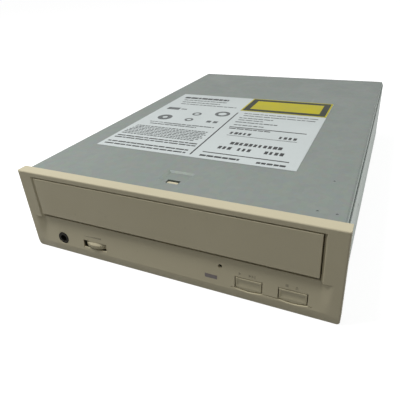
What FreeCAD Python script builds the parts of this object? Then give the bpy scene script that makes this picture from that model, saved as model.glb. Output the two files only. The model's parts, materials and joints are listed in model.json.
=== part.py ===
import FreeCAD, Part
import math
import os
from types import SimpleNamespace

import Sketcher

# CD-ROM drive for a half-height 5.25 inch bay, in millimetres.
# +Z is up, the bezel faces -Y and +X is to the right of a viewer who faces the bezel.
# The origin is under the middle of the whole drive, at the height of the bezel's lower edge.

SIZES = {
    # Steel body
    "body_width": 146.0,
    "body_depth": 203.2,
    "body_height": 41.3,
    "body_bottom": 0.5,
    "sheet": 1.0,
    "cover_inset": 0.6,
    "rim_thick": 0.5,
    "cover_flange": 8.0,
    "wall_drop": 1.8,
    "bend_radius": 1.3,
    # Sunk tab of the top cover, its latch slot and the small pits
    "tab_width": 12.6,
    "tab_depth": 11.4,
    "tab_start": 6.9,
    "tab_sink": 0.8,
    "tab_slope": 45.0,
    "slot_width": 6.0,
    "slot_depth": 3.0,
    "slot_start": 8.2,
    "pit_radius": 0.45,
    "pit_sink": 0.25,
    "pit_inner_side": 11.0,
    "pit_outer_side": 4.2,
    "pit_front_set": 5.1,
    "pit_middle_side": 8.9,
    "pit_middle_set": 29.9,
    # Mounting holes
    "mount_first": 47.4,
    "mount_spacing": 79.25,
    "mount_low": 10.0,
    "mount_rise": 11.84,
    "mount_edge": 3.15,
    "mount_radius": 1.25,
    "collar_radius": 2.3,
    "collar_length": 2.5,
    # Bezel
    "bezel_side": 1.3,
    "bezel_over": 0.5,
    "bezel_depth": 5.1,
    "bezel_wall": 2.2,
    "bezel_rim": 1.6,
    "bezel_round": 0.6,
    "bezel_corner": 1.4,
    "front_reach": 0.6,
    "lip_height": 4.5,
    "lip_back": 0.5,
    "strip_sink": 1.5,
    "strip_fade": 5.0,
    "frame_bevel": 1.1,
    "frame_bevel_depth": 1.2,
    "latch_length": 10.1,
    "latch_width": 5.0,
    "latch_thick": 1.4,
    "latch_root": 1.2,
    "side_latch_width": 9.0,
    "side_latch_z": 26.0,
    # Tray door
    "door_side": 8.8,
    "door_over": 3.1,
    "door_bottom": 20.3,
    "door_depth": 4.0,
    "door_gap": 0.4,
    "door_top_gap": 0.7,
    "door_drop": 2.0,
    "door_round": 0.15,
    # Disc tray, with room for a 120 mm disc, and a smaller well for an 80 mm disc
    "tray_rise": 3.1,
    "tray_height": 8.0,
    "tray_skin": 2.0,
    "tray_end_gap": 7.85,
    "well_side": 3.0,
    "well_rim": 5.5,
    "well_floor": 2.0,
    "well_wall": 1.5,
    "small_well_radius": 40.6,
    "small_well_sink": 0.8,
    "tray_slot_radius": 19.5,
    "rail_gap": 0.3,
    # Panel controls
    "panel_z": 8.0,
    "jack_side": 17.8,
    "jack_hole_radius": 3.1,
    "jack_nose_radius": 2.9,
    "jack_bore_radius": 1.8,
    "jack_bore_length": 14.0,
    "jack_width": 11.0,
    "jack_height": 7.0,
    "jack_depth": 12.0,
    "jack_to_wheel": 19.0,
    "wheel_radius": 8.6,
    "wheel_thick": 3.4,
    "wheel_slot_width": 13.2,
    "wheel_gap": 0.25,
    "wheel_chamfer": 1.0,
    "wheel_skin": 0.9,
    "knurl_count": 60,
    "knurl_radius": 0.22,
    "knurl_inset": 0.7,
    "lamp_to_play": 16.25,
    "lamp_width": 5.5,
    "lamp_height": 1.9,
    "lamp_sink": 0.3,
    "lamp_radius": 1.5,
    "lamp_length": 4.7,
    "pinhole_to_play": 12.2,
    "pinhole_z": 13.8,
    "pinhole_radius": 0.95,
    "eject_side": 18.0,
    "button_pitch": 17.8,
    "button_width": 10.8,
    "button_low": 5.8,
    "button_top": 10.6,
    "button_sag": 0.7,
    "button_gap": 0.4,
    "button_set": 0.5,
    "button_flange": 1.1,
    "button_plate": 1.0,
    "button_travel": 0.6,
    "button_round": 0.12,
    "stem_width": 4.0,
    "stem_height": 3.0,
    "stem_gap": 0.1,
    "dish_margin": 0.7,
    "dish_sink": 0.2,
    "jack_set": 0.3,
    "crease_margin": 2.0,
    "crease_height": 0.4,
    "crease_sink": 0.6,
    # Front board and what stands on it
    "board_thick": 1.6,
    "front_board_z": 2.8,
    "front_board_side": 2.0,
    "front_board_setback": 1.2,
    "front_post_side": 14.0,
    "front_post_inset": 3.5,
    "part_setback": 0.4,
    "switch_width": 6.0,
    "switch_height": 6.0,
    "switch_depth": 3.5,
    "plunger_radius": 1.5,
    "plunger_length": 1.2,
    "pot_radius": 4.0,
    "pot_shaft_radius": 1.5,
    # Loader chassis
    "rear_room": 34.45,
    "chassis_side": 5.5,
    "chassis_wall": 2.5,
    "chassis_wall_gap": 0.5,
    "chassis_over": 0.8,
    "chassis_floor_z": 9.0,
    "chassis_floor": 2.0,
    "deck_z": 11.6,
    "deck_floor": 1.4,
    "rail_width": 3.0,
    "rail_thick": 2.6,
    "lip_width": 1.8,
    "lip_thick": 1.5,
    "front_lip_length": 18.0,
    "rear_lip_length": 24.0,
    "rear_lip_gap": 6.0,
    "post_side": 9.5,
    "post_radius": 3.2,
    "front_post_set": 20.75,
    "rear_post_inset": 8.0,
    "boss_side": 1.5,
    "boss_radius": 2.4,
    "boss_depth": 8.0,
    "joining_depth": 0.5,
    "screw_tip": 1.0,
    "bridge_reach": 20.0,
    "bridge_thick": 1.2,
    "bridge_flange": 2.0,
    "bridge_flange_side": 6.0,
    "bridge_screw_reach": 14.0,
    "bridge_hole_radius": 12.5,
    "screw_head": 1.2,
    # Loading drive
    "gear_ahead": 16.4,
    "rack_side": 11.5,
    "rack_ahead": 8.0,
    "rack_inset": 0.6,
    "load_module": 1.0,
    "load_teeth": 22,
    "wheel_module": 0.8,
    "wheel_teeth": 28,
    "pinion_teeth": 12,
    "gear_backlash": 0.25,
    "gear_thick": 3.0,
    "rack_height": 3.4,
    "rack_back": 2.2,
    "rack_wall": 2.0,
    "post_pin_radius": 1.5,
    "running_gap": 0.05,
    "level_gap": 0.4,
    "pulley_gap": 0.9,
    "pulley_radius": 9.6,
    "pulley_thick": 2.3,
    "motor_pulley_radius": 2.6,
    "groove_depth": 0.8,
    "groove_flare": 0.3,
    "groove_gap": 0.15,
    "belt_thick": 0.8,
    "belt_gap": 0.1,
    "belt_run": 31.0,
    "motor_behind": 2.0,
    "load_motor_radius": 10.0,
    "load_motor_rise": 0.5,
    "motor_board_gap": 1.15,
    "motor_shaft_radius": 1.0,
    "motor_collar": 1.5,
    # Lift frame, its cam slider and pivot
    "lift_side": 15.0,
    "lift_gap": 1.5,
    "lift_bar": 4.0,
    "lift_ahead": 25.75,
    "lift_height": 4.5,
    "lift_end_gap": 6.0,
    "pivot_z": 14.75,
    "pivot_inset": 4.0,
    "pivot_radius": 2.0,
    "pivot_reach": 5.0,
    "bearing_wall": 2.0,
    "cam_pin_x": 16.0,
    "cam_pin_radius": 1.5,
    "cam_stroke": 12.0,
    "cam_drop": 5.6,
    "cam_plate": 2.0,
    "cam_gap": 1.0,
    "cam_half_width": 26.0,
    "cam_margin": 3.2,
    "cam_flange_reach": 3.0,
    "cam_flange": 1.4,
    "beam_thick": 1.7,
    "beam_lip": 1.2,
    # Deck plate of the optical drive
    "deck_plate_rise": 1.7,
    "deck_plate_thick": 1.2,
    "deck_gap": 3.0,
    "deck_front_gap": 2.6,
    "deck_end": 8.0,
    "opening_left_gap": 1.5,
    "opening_right_gap": 1.2,
    "opening_front_gap": 0.95,
    "damper_radius": 3.6,
    "damper_neck": 2.2,
    "damper_flange": 1.2,
    "damper_inset": 4.0,
    "damper_gap": 0.1,
    "small_screw": 1.0,
    # Spindle, turntable and clamper
    "spindle_motor_radius": 12.0,
    "spindle_motor_length": 3.8,
    "disc_rise": 3.9,
    "turntable_radius": 14.5,
    "turntable_plate": 2.1,
    "turntable_gap": 0.8,
    "pad_thick": 0.4,
    "pad_inner": 10.0,
    "cone_radius": 7.4,
    "cone_rise": 2.3,
    "cone_slope_height": 1.2,
    "cone_slope_width": 1.8,
    "shaft_recess": 0.3,
    "turntable_hub": 5.0,
    "clamper_rise": 1.6,
    "clamper_radius": 15.5,
    "clamper_plate": 2.3,
    "clamper_hub": 12.0,
    "clamper_recess": 8.3,
    "clamper_recess_depth": 1.1,
    "clamper_cap": 1.5,
    "magnet_radius": 8.0,
    "magnet_thick": 3.0,
    "magnet_sink": 0.6,
    # Pickup sled
    "rod_radius": 1.5,
    "rod_left": 21.5,
    "rod_rise": 2.8,
    "rod_reach": 3.4,
    "rod_end": 1.0,
    "rod_seat": 1.5,
    "rod_cover": 1.0,
    "sled_left_side": 4.5,
    "sled_right_side": 3.9,
    "sled_start": 15.0,
    "sled_length": 30.0,
    "sled_below_rod": 3.8,
    "sled_above_rod": 3.5,
    "sled_end_gap": 1.85,
    "lens_start": 23.0,
    "lens_radius": 3.0,
    "lens_below_disc": 2.7,
    "lens_seat": 1.5,
    "lens_dome": 0.8,
    "lens_dome_share": 0.6,
    "holder_width": 13.0,
    "holder_depth": 11.0,
    "holder_rise": 1.6,
    "holder_height": 4.0,
    "holder_gap": 0.6,
    "holder_well": 1.4,
    "cover_thick": 0.4,
    "cover_side": 3.0,
    "cover_end": 1.0,
    "sled_gear_side": 9.4,
    "sled_gear_set": 28.85,
    "sled_gear_gap": 0.3,
    "sled_rack_side": 5.6,
    "sled_rack_gap": 0.4,
    "sled_rack_height": 2.0,
    "sled_rack_spare": 4.0,
    "sled_arm_inset": 2.0,
    "small_module": 0.6,
    "small_teeth": 12,
    "sled_module": 0.5,
    "sled_teeth": 32,
    "sled_pinion_teeth": 10,
    "sled_backlash": 0.16,
    "sled_gear_thick": 1.3,
    "small_gear_thick": 2.4,
    "sled_motor_radius": 6.5,
    "sled_motor_rise": 3.4,
    # Main board and rear connectors
    "main_board_z": 3.5,
    "board_post_gap": 1.3,
    "board_side": 2.0,
    "board_behind": 3.1,
    "board_step_gap": 3.0,
    "board_setback": 2.2,
    "board_hole_side": 4.0,
    "board_hole_front": 5.0,
    "board_hole_rear": 12.0,
    "connector_inset": 0.2,
    "window_gap": 0.4,
    "ide_x": 2.5,
    "ide_width": 58.4,
    "ide_height": 9.0,
    "ide_depth": 9.2,
    "ide_columns": 20,
    "pin_pitch": 2.54,
    "pin_width": 0.64,
    "pin_inset": 1.5,
    "shroud_wall": 1.1,
    "shroud_floor": 1.8,
    "power_side": 25.0,
    "power_width": 23.4,
    "power_height": 10.8,
    "power_depth": 13.0,
    "power_pitch": 5.08,
    "power_pin_radius": 1.05,
    "power_pin_inset": 2.0,
    "audio_side": 13.0,
    "audio_width": 12.4,
    "audio_height": 5.8,
    "audio_depth": 8.0,
    "jumper_to_audio": 14.3,
    "jumper_columns": 3,
    "jumper_base_inset": 6.5,
    "jumper_base_depth": 2.5,
    "jumper_pin_inset": 0.5,
    "jumper_tail": 0.5,
    "jumper_cap_length": 6.3,
    "jumper_cap_end": 0.4,
    "jumper_cap_gap": 0.1,
    # Front ribbon and tray switch
    "ribbon_gap": 4.0,
    "ribbon_width": 10.0,
    "ribbon_thick": 0.3,
    "ribbon_leg": 1.0,
    "ribbon_front_set": 6.0,
    "ribbon_rear_set": 8.0,
    "tray_switch_side": 3.0,
    "tray_switch_width": 6.0,
    "tray_switch_set": 24.0,
    "tray_switch_depth": 10.0,
    "tray_switch_height": 6.0,
    "tray_lever_inset": 2.0,
    "tray_lever_width": 1.2,
    "tray_lever_height": 1.6,
    # Labels on the cover
    "label_thick": 0.12,
    "label_side": 12.9,
    "label_width": 106.5,
    "label_start": 33.9,
    "label_depth": 102.0,
    "notice_side": 0.2,
    "notice_end": 0.1,
    "notice_width": 53.0,
    "notice_depth": 27.4,
}

# Chips at the front of the main board: x, distance behind the board's front edge, width, depth and height.
FRONT_CHIPS = [
    (-20, 70.5, 20, 20, 2.2),
    (6, 74.5, 14, 14, 1.8),
    (10, 50.5, 8, 12, 1.6),
    (-34, 36.5, 12, 8, 1.6),
    (36, 100.5, 8, 14, 1.8),
    (-38, 100.5, 10, 16, 1.8),
]

# Chips at the rear of the main board: x, distance ahead of the body's rear, width, depth and height.
REAR_CHIPS = [
    (20, 24.5, 14, 20, 2.2),
    (-12, 24.5, 12, 12, 1.8),
]

# Capacitors: side, distance in from the wide board's edge, distance ahead of the body's rear,
# radius and height.
CAPACITORS = [
    (-1, 10, 28.5, 4.0, 10),
    (-1, 20, 28.5, 3.2, 8),
    (-1, 36, 26.5, 3.2, 8),
    (1, 30, 26.5, 3.2, 8),
    (1, 20, 26.5, 3.2, 8),
    (1, 10, 26.5, 4.0, 10),
]

# Crystal can: low and high x, distances of its ends ahead of the body's rear, and height.
CRYSTAL = (-2, 9, 36.0, 32.5, 3.5)

doc = FreeCAD.newDocument("cd_rom_drive")
nodes = []


class Size:
    """A number with the spreadsheet expression that gives it; arithmetic keeps both."""

    def __init__(self, number, text):
        self.number = number
        self.text = text

    def __add__(self, other):
        other = as_size(other)
        return Size(self.number + other.number, f"({self.text} + {other.text})")

    def __radd__(self, other):
        return as_size(other) + self

    def __sub__(self, other):
        other = as_size(other)
        return Size(self.number - other.number, f"({self.text} - {other.text})")

    def __rsub__(self, other):
        return as_size(other) - self

    def __mul__(self, other):
        other = as_size(other)
        return Size(self.number * other.number, f"({self.text} * {other.text})")

    def __rmul__(self, other):
        return as_size(other) * self

    def __truediv__(self, other):
        other = as_size(other)
        return Size(self.number / other.number, f"({self.text} / {other.text})")

    def __neg__(self):
        return Size(-self.number, f"(0 - {self.text})")


def as_size(entry):
    """A Size from a Size or a plain number."""
    if isinstance(entry, Size):
        return entry
    return Size(float(entry), f"({float(entry):.6f})")


def fill_sheet():
    """Write the driving sizes to a spreadsheet and return them as named Sizes."""
    sheet = doc.addObject("Spreadsheet::Sheet", "Sizes")
    named = {}
    for row, (name, number) in enumerate(SIZES.items(), start=1):
        sheet.set(f"A{row}", name)
        sheet.set(f"B{row}", str(number))
        sheet.setAlias(f"B{row}", name)
        named[name] = Size(float(number), f"Sizes.{name}")
    return SimpleNamespace(**named)


def fill_places(places):
    """Write the worked-out places to a second sheet, each as a formula of the sizes."""
    sheet = doc.addObject("Spreadsheet::Sheet", "Places")
    named = {}
    for row, (name, size) in enumerate(places.items(), start=1):
        sheet.set(f"A{row}", name)
        sheet.set(f"B{row}", "=" + size.text)
        sheet.setAlias(f"B{row}", name)
        named[name] = Size(size.number, f"Places.{name}")
    return SimpleNamespace(**named)


def work_out_places(s):
    """Places that several pieces share, all from the driving sizes."""
    p = {}
    p["front_y"] = s.front_reach / 2 - (s.body_depth + s.bezel_depth) / 2
    p["body_front"] = p["front_y"] + s.bezel_depth
    p["body_rear"] = p["body_front"] + s.body_depth
    p["bezel_inside"] = p["front_y"] + s.bezel_wall
    p["body_top"] = s.body_bottom + s.body_height
    p["floor_top"] = s.body_bottom + s.sheet
    p["wall_top"] = p["body_top"] - s.wall_drop
    p["wall_inside"] = s.body_width / 2 - s.sheet
    p["cover_half"] = s.body_width / 2 - s.cover_inset
    p["flange_room"] = p["body_top"] - s.cover_flange - s.rail_gap
    p["cover_under"] = p["body_top"] - s.sheet
    p["mount_y1"] = p["body_front"] + s.mount_first
    p["mount_y2"] = p["mount_y1"] + s.mount_spacing
    p["mount_half"] = s.body_width / 2 - s.mount_edge
    p["bezel_half"] = s.body_width / 2 + s.bezel_side
    p["bezel_height"] = p["body_top"] + s.bezel_over
    p["door_half"] = p["bezel_half"] - s.door_side
    p["door_top"] = p["bezel_height"] - s.door_over
    p["opening_low"] = s.door_bottom - s.door_drop
    p["opening_high"] = p["door_top"] + s.door_top_gap
    p["jack_x"] = s.jack_side - p["bezel_half"]
    p["wheel_x"] = p["jack_x"] + s.jack_to_wheel
    p["eject_x"] = p["bezel_half"] - s.eject_side
    p["play_x"] = p["eject_x"] - s.button_pitch
    p["lamp_x"] = p["play_x"] - s.lamp_to_play
    p["pinhole_x"] = p["play_x"] - s.pinhole_to_play
    p["chassis_outside"] = p["wall_inside"] - s.chassis_side
    p["chassis_inside"] = p["chassis_outside"] - s.chassis_wall
    p["chassis_front"] = p["body_front"] + s.front_board_setback
    p["chassis_end"] = p["body_rear"] - s.rear_room
    p["tray_half"] = p["chassis_inside"] - s.chassis_wall_gap
    p["tray_front"] = p["front_y"] + s.door_depth
    p["tray_rear"] = p["chassis_end"] - s.tray_end_gap
    p["tray_bottom"] = s.door_bottom + s.tray_rise
    p["tray_top"] = p["tray_bottom"] + s.tray_height
    p["well_radius"] = p["tray_half"] - s.well_side
    p["spindle_y"] = p["tray_front"] + s.well_rim + p["well_radius"]
    p["chassis_top"] = p["tray_top"] + s.rail_gap + s.lip_thick + s.chassis_over
    p["post_x"] = p["chassis_outside"] - s.post_side
    p["front_post_y"] = p["body_front"] + s.front_post_set
    p["rear_post_y"] = p["chassis_end"] - s.rear_post_inset
    p["boss_x"] = p["chassis_outside"] + s.boss_side
    p["deck_top"] = s.deck_z + s.deck_floor
    p["lift_half"] = p["chassis_inside"] - s.lift_side
    p["lift_opening"] = p["lift_half"] + s.lift_gap
    p["lift_front"] = p["spindle_y"] - s.lift_ahead
    p["lift_rear"] = p["chassis_end"] - s.lift_end_gap
    p["lift_bottom"] = s.pivot_z - s.lift_height / 2
    p["pivot_y"] = p["lift_rear"] - s.pivot_inset
    p["cam_front"] = p["lift_front"] - s.cam_gap - s.rail_gap - s.cam_plate
    p["cam_low"] = s.pivot_z - s.cam_drop - s.cam_margin
    p["beam_top"] = p["cam_low"] - s.rail_gap
    p["beam_low"] = p["beam_top"] - s.beam_thick
    p["deck_back"] = p["cam_front"] - 2 * s.rail_gap
    p["gear_y"] = p["lift_front"] - s.gear_ahead
    p["rack_x"] = p["tray_half"] - s.rack_side
    p["gear_x"] = p["rack_x"] - s.load_module * s.load_teeth / 2
    p["pulley_x"] = p["gear_x"] - s.wheel_module * (s.wheel_teeth + s.pinion_teeth) / 2
    p["gear_low"] = p["deck_top"] + s.level_gap
    p["load_low"] = p["tray_bottom"] - s.level_gap - s.gear_thick
    p["pulley_low"] = p["load_low"] - s.pulley_gap - s.pulley_thick
    p["wheel_top"] = p["pulley_low"] - s.level_gap
    p["motor_x"] = p["pulley_x"] - s.belt_run
    p["motor_y"] = p["gear_y"] + s.motor_behind
    p["board_top"] = s.main_board_z + s.board_thick
    p["board_narrow"] = p["post_x"] - s.post_radius - s.board_post_gap
    p["board_wide"] = p["wall_inside"] - s.board_side
    p["board_front"] = p["lift_front"] + s.board_behind
    p["board_step"] = p["chassis_end"] - s.board_step_gap
    p["front_board_top"] = s.front_board_z + s.board_thick
    p["front_board_rear"] = p["motor_y"] - s.load_motor_radius - s.motor_board_gap
    p["front_board_half"] = p["chassis_inside"] - s.front_board_side
    p["plunger_front"] = p["chassis_front"] - s.part_setback
    p["jack_front"] = p["chassis_front"] + s.part_setback
    p["connector_rear"] = p["body_rear"] - s.connector_inset
    p["power_x"] = s.power_side - p["wall_inside"]
    p["audio_x"] = p["wall_inside"] - s.audio_side
    p["jumper_x"] = p["audio_x"] - s.jumper_to_audio
    p["deck_plate_z"] = p["lift_bottom"] + s.deck_plate_rise
    p["deck_plate_top"] = p["deck_plate_z"] + s.deck_plate_thick
    p["deck_half"] = p["lift_half"] - s.lift_bar - s.deck_gap
    p["deck_front"] = p["lift_front"] + s.lift_bar + s.deck_front_gap
    p["deck_rear"] = p["lift_rear"] - s.lift_bar - s.deck_gap
    p["rod_z"] = p["deck_plate_z"] + s.rod_rise
    p["sled_gear_x"] = p["deck_half"] - s.sled_gear_side
    p["sled_rack_x"] = p["sled_gear_x"] - s.small_module * s.small_teeth / 2
    p["sled_right"] = p["sled_rack_x"] - s.sled_rack_side
    p["rod_right"] = p["sled_right"] - s.sled_right_side
    p["rod_left"] = -s.rod_left
    p["sled_left"] = p["rod_left"] - s.sled_left_side
    p["sled_front"] = p["spindle_y"] + s.sled_start
    p["sled_rear"] = p["sled_front"] + s.sled_length
    p["sled_low"] = p["rod_z"] - s.sled_below_rod
    p["sled_high"] = p["rod_z"] + s.sled_above_rod
    p["opening_left"] = p["sled_left"] - s.opening_left_gap
    p["opening_right"] = p["sled_right"] + s.opening_right_gap
    p["opening_front"] = p["sled_front"] - s.opening_front_gap
    p["opening_rear"] = p["deck_rear"] - s.deck_end
    p["sled_travel"] = p["opening_rear"] - p["sled_rear"] - s.sled_end_gap
    p["sled_gear_y"] = p["sled_front"] + s.sled_gear_set
    p["sled_gear_z"] = p["deck_plate_top"] + s.sled_gear_gap
    p["sled_gear_step"] = p["sled_gear_z"] + s.sled_gear_thick
    p["sled_gear_top"] = p["sled_gear_step"] + s.small_gear_thick
    p["sled_rack_z"] = p["sled_gear_step"] + s.sled_rack_gap
    p["sled_motor_y"] = p["sled_gear_y"] + s.sled_module * (s.sled_teeth + s.sled_pinion_teeth) / 2
    p["lens_y"] = p["spindle_y"] + s.lens_start
    p["disc_level"] = p["tray_bottom"] + s.disc_rise
    p["lens_top"] = p["disc_level"] - s.lens_below_disc
    p["holder_z"] = p["rod_z"] + s.holder_rise
    p["holder_top"] = p["holder_z"] + s.holder_height
    p["clamper_level"] = p["disc_level"] + s.clamper_rise
    p["label_left"] = s.label_side - p["cover_half"]
    return p


s = fill_sheet()
p = fill_places(work_out_places(s))


def bind(item, prop, size):
    """Tie a property to the spreadsheets."""
    item.setExpression(prop, as_size(size).text)


def add_node(item, label):
    """Name a finished sub-part and keep it for export."""
    item.Label = label
    nodes.append(item)
    return item


def place(item, x, y, z):
    """Bind an object's position."""
    bind(item, "Placement.Base.x", x)
    bind(item, "Placement.Base.y", y)
    bind(item, "Placement.Base.z", z)


def block(x, y, z, name="block"):
    """A box between the low and high end of x, y and z."""
    box = doc.addObject("Part::Box", name)
    bind(box, "Length", x[1] - x[0])
    bind(box, "Width", y[1] - y[0])
    bind(box, "Height", z[1] - z[0])
    place(box, x[0], y[0], z[0])
    return box


def drum(axis, centre, span, radius, name="drum"):
    """A cylinder along an axis; centre gives the two other coordinates in X, Y, Z order."""
    cylinder = doc.addObject("Part::Cylinder", name)
    bind(cylinder, "Radius", radius)
    bind(cylinder, "Height", span[1] - span[0])
    turns = {
        "X": FreeCAD.Rotation(FreeCAD.Vector(0, 1, 0), 90),
        "Y": FreeCAD.Rotation(FreeCAD.Vector(1, 0, 0), -90),
        "Z": FreeCAD.Rotation(),
    }
    cylinder.Placement = FreeCAD.Placement(FreeCAD.Vector(), turns[axis])
    if axis == "X":
        place(cylinder, span[0], centre[0], centre[1])
    elif axis == "Y":
        place(cylinder, centre[0], span[0], centre[1])
    else:
        place(cylinder, centre[0], centre[1], span[0])
    return cylinder


def taper(centre, span, low_radius, high_radius, name="taper"):
    """An upright cone frustum."""
    cone = doc.addObject("Part::Cone", name)
    bind(cone, "Radius1", low_radius)
    bind(cone, "Radius2", high_radius)
    bind(cone, "Height", span[1] - span[0])
    place(cone, centre[0], centre[1], span[0])
    return cone


def fuse(items, name="joined"):
    """One solid from several that touch or overlap."""
    if len(items) == 1:
        return items[0]
    joined = doc.addObject("Part::MultiFuse", name)
    joined.Shapes = items
    joined.Refine = True
    return joined


def group(items, name="group"):
    """Several separate solids kept together as one sub-part."""
    gathered = doc.addObject("Part::Compound", name)
    gathered.Links = items
    return gathered


def cut(base, tools, name="cut"):
    """Base less its tools."""
    result = doc.addObject("Part::Cut", name)
    result.Base = base
    result.Tool = fuse(tools)
    return result


def span_of(centre, width):
    """The low and high end of a width about a centre."""
    return (centre - width / 2, centre + width / 2)


def both(half):
    """The low and high end of a width about the middle plane."""
    return (-half, half)


def new_body(name):
    """An empty PartDesign body."""
    return doc.addObject("PartDesign::Body", name)


def plane_of(body, role):
    """One of the body's own origin planes."""
    for feature in body.Origin.OriginFeatures:
        if feature.Role == role:
            return feature
    raise ValueError(role)


def rectangle(across, along):
    """Corner points of a rectangle between the ends of two spans."""
    a = across
    b = along
    return [(a[0], b[0]), (a[1], b[0]), (a[1], b[1]), (a[0], b[1])]


def arc_between(start, end, radius, side):
    """The smaller arc from start to end; side is 1 with its centre to the left of the way, else -1."""
    middle = (start + end) * 0.5
    chord = end - start
    reach = math.sqrt(max(radius * radius - chord.Length * chord.Length / 4, 0.0))
    left = FreeCAD.Vector(-chord.y, chord.x, 0).normalize()
    centre = middle + left * (reach * side)
    circle = Part.Circle(centre, FreeCAD.Vector(0, 0, 1), radius)
    first = math.atan2(start.y - centre.y, start.x - centre.x)
    last = math.atan2(end.y - centre.y, end.x - centre.x)
    if side > 0:
        return Part.ArcOfCircle(circle, first, last)
    return Part.ArcOfCircle(circle, last, first)


def draw_loop(sketch, points, arcs=None):
    """A closed outline; arcs maps an edge's number to its radius and side."""
    arcs = arcs or {}
    corners = []
    for a, b in points:
        corners.append(FreeCAD.Vector(as_size(a).number, as_size(b).number, 0))
    edges = []
    for number, corner in enumerate(corners):
        following = corners[(number + 1) % len(corners)]
        if number in arcs:
            radius, side = arcs[number]
            curve = arc_between(corner, following, radius.number, side)
            index = sketch.addGeometry(curve, False)
            ends = (1, 2) if side > 0 else (2, 1)
            key = sketch.addConstraint(Sketcher.Constraint("Radius", index, radius.number))
            bind(sketch, f"Constraints[{key}]", radius)
        else:
            index = sketch.addGeometry(Part.LineSegment(corner, following), False)
            ends = (1, 2)
        edges.append((index, ends))
    for number, (index, ends) in enumerate(edges):
        next_index, next_ends = edges[(number + 1) % len(edges)]
        sketch.addConstraint(Sketcher.Constraint("Coincident", index, ends[1], next_index, next_ends[0]))
        for kind, size, length in (
            ("DistanceX", points[number][0], corners[number].x),
            ("DistanceY", points[number][1], corners[number].y),
        ):
            key = sketch.addConstraint(Sketcher.Constraint(kind, -1, 1, index, ends[0], length))
            bind(sketch, f"Constraints[{key}]", size)


def draw_circle(sketch, a, b, radius):
    """A circle with its centre and radius bound."""
    a = as_size(a)
    b = as_size(b)
    radius = as_size(radius)
    circle = Part.Circle(FreeCAD.Vector(a.number, b.number, 0), FreeCAD.Vector(0, 0, 1), radius.number)
    index = sketch.addGeometry(circle, False)
    for constraint, size in (
        (Sketcher.Constraint("DistanceX", -1, 1, index, 3, a.number), a),
        (Sketcher.Constraint("DistanceY", -1, 1, index, 3, b.number), b),
        (Sketcher.Constraint("Radius", index, radius.number), radius),
    ):
        key = sketch.addConstraint(constraint)
        bind(sketch, f"Constraints[{key}]", size)


def draw_sketch(body, role, level, loops=(), circles=(), arcs=None):
    """A sketch on the plane at that level along the plane's own row axis."""
    sketch = body.newObject("Sketcher::SketchObject", "outline")
    sketch.AttachmentSupport = [(plane_of(body, role), "")]
    sketch.MapMode = "FlatFace"
    height = as_size(level)
    if role == "XZ_Plane":
        height = -height
    bind(sketch, "AttachmentOffset.Base.z", height)
    for points in loops:
        draw_loop(sketch, points, arcs)
    for a, b, radius in circles:
        draw_circle(sketch, a, b, radius)
    return sketch


def slab(body, role, span, loops=(), circles=(), arcs=None, slope=None):
    """Add material between two levels."""
    low, high = as_size(span[0]), as_size(span[1])
    level = high if role == "XZ_Plane" else low
    sketch = draw_sketch(body, role, level, loops, circles, arcs)
    pad = body.newObject("PartDesign::Pad", "slab")
    pad.Profile = sketch
    bind(pad, "Length", high - low)
    if slope is not None:
        bind(pad, "TaperAngle", slope)
    return pad


def cavity(body, role, span, loops=(), circles=(), arcs=None, slope=None):
    """Remove material between two levels."""
    low, high = as_size(span[0]), as_size(span[1])
    level = low if role == "XZ_Plane" else high
    sketch = draw_sketch(body, role, level, loops, circles, arcs)
    pocket = body.newObject("PartDesign::Pocket", "cavity")
    pocket.Profile = sketch
    bind(pocket, "Length", high - low)
    if slope is not None:
        bind(pocket, "TaperAngle", slope)
    return pocket


def round_edges(body, radius, wanted, kind="Fillet"):
    """Fillet or chamfer the edges of the body so far for which wanted(start, end) is true."""
    doc.recompute()
    base = body.Tip
    chosen = []
    for number, edge in enumerate(base.Shape.Edges, start=1):
        ends = [vertex.Point for vertex in edge.Vertexes]
        if len(ends) == 2 and wanted(ends[0], ends[1]):
            chosen.append(f"Edge{number}")
    feature = body.newObject("PartDesign::" + kind, kind.lower())
    feature.Base = (base, chosen)
    bind(feature, "Size" if kind == "Chamfer" else "Radius", radius)
    return feature


def near(a, b):
    """Whether two plain numbers agree."""
    return abs(a - b) < 1e-4


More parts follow.
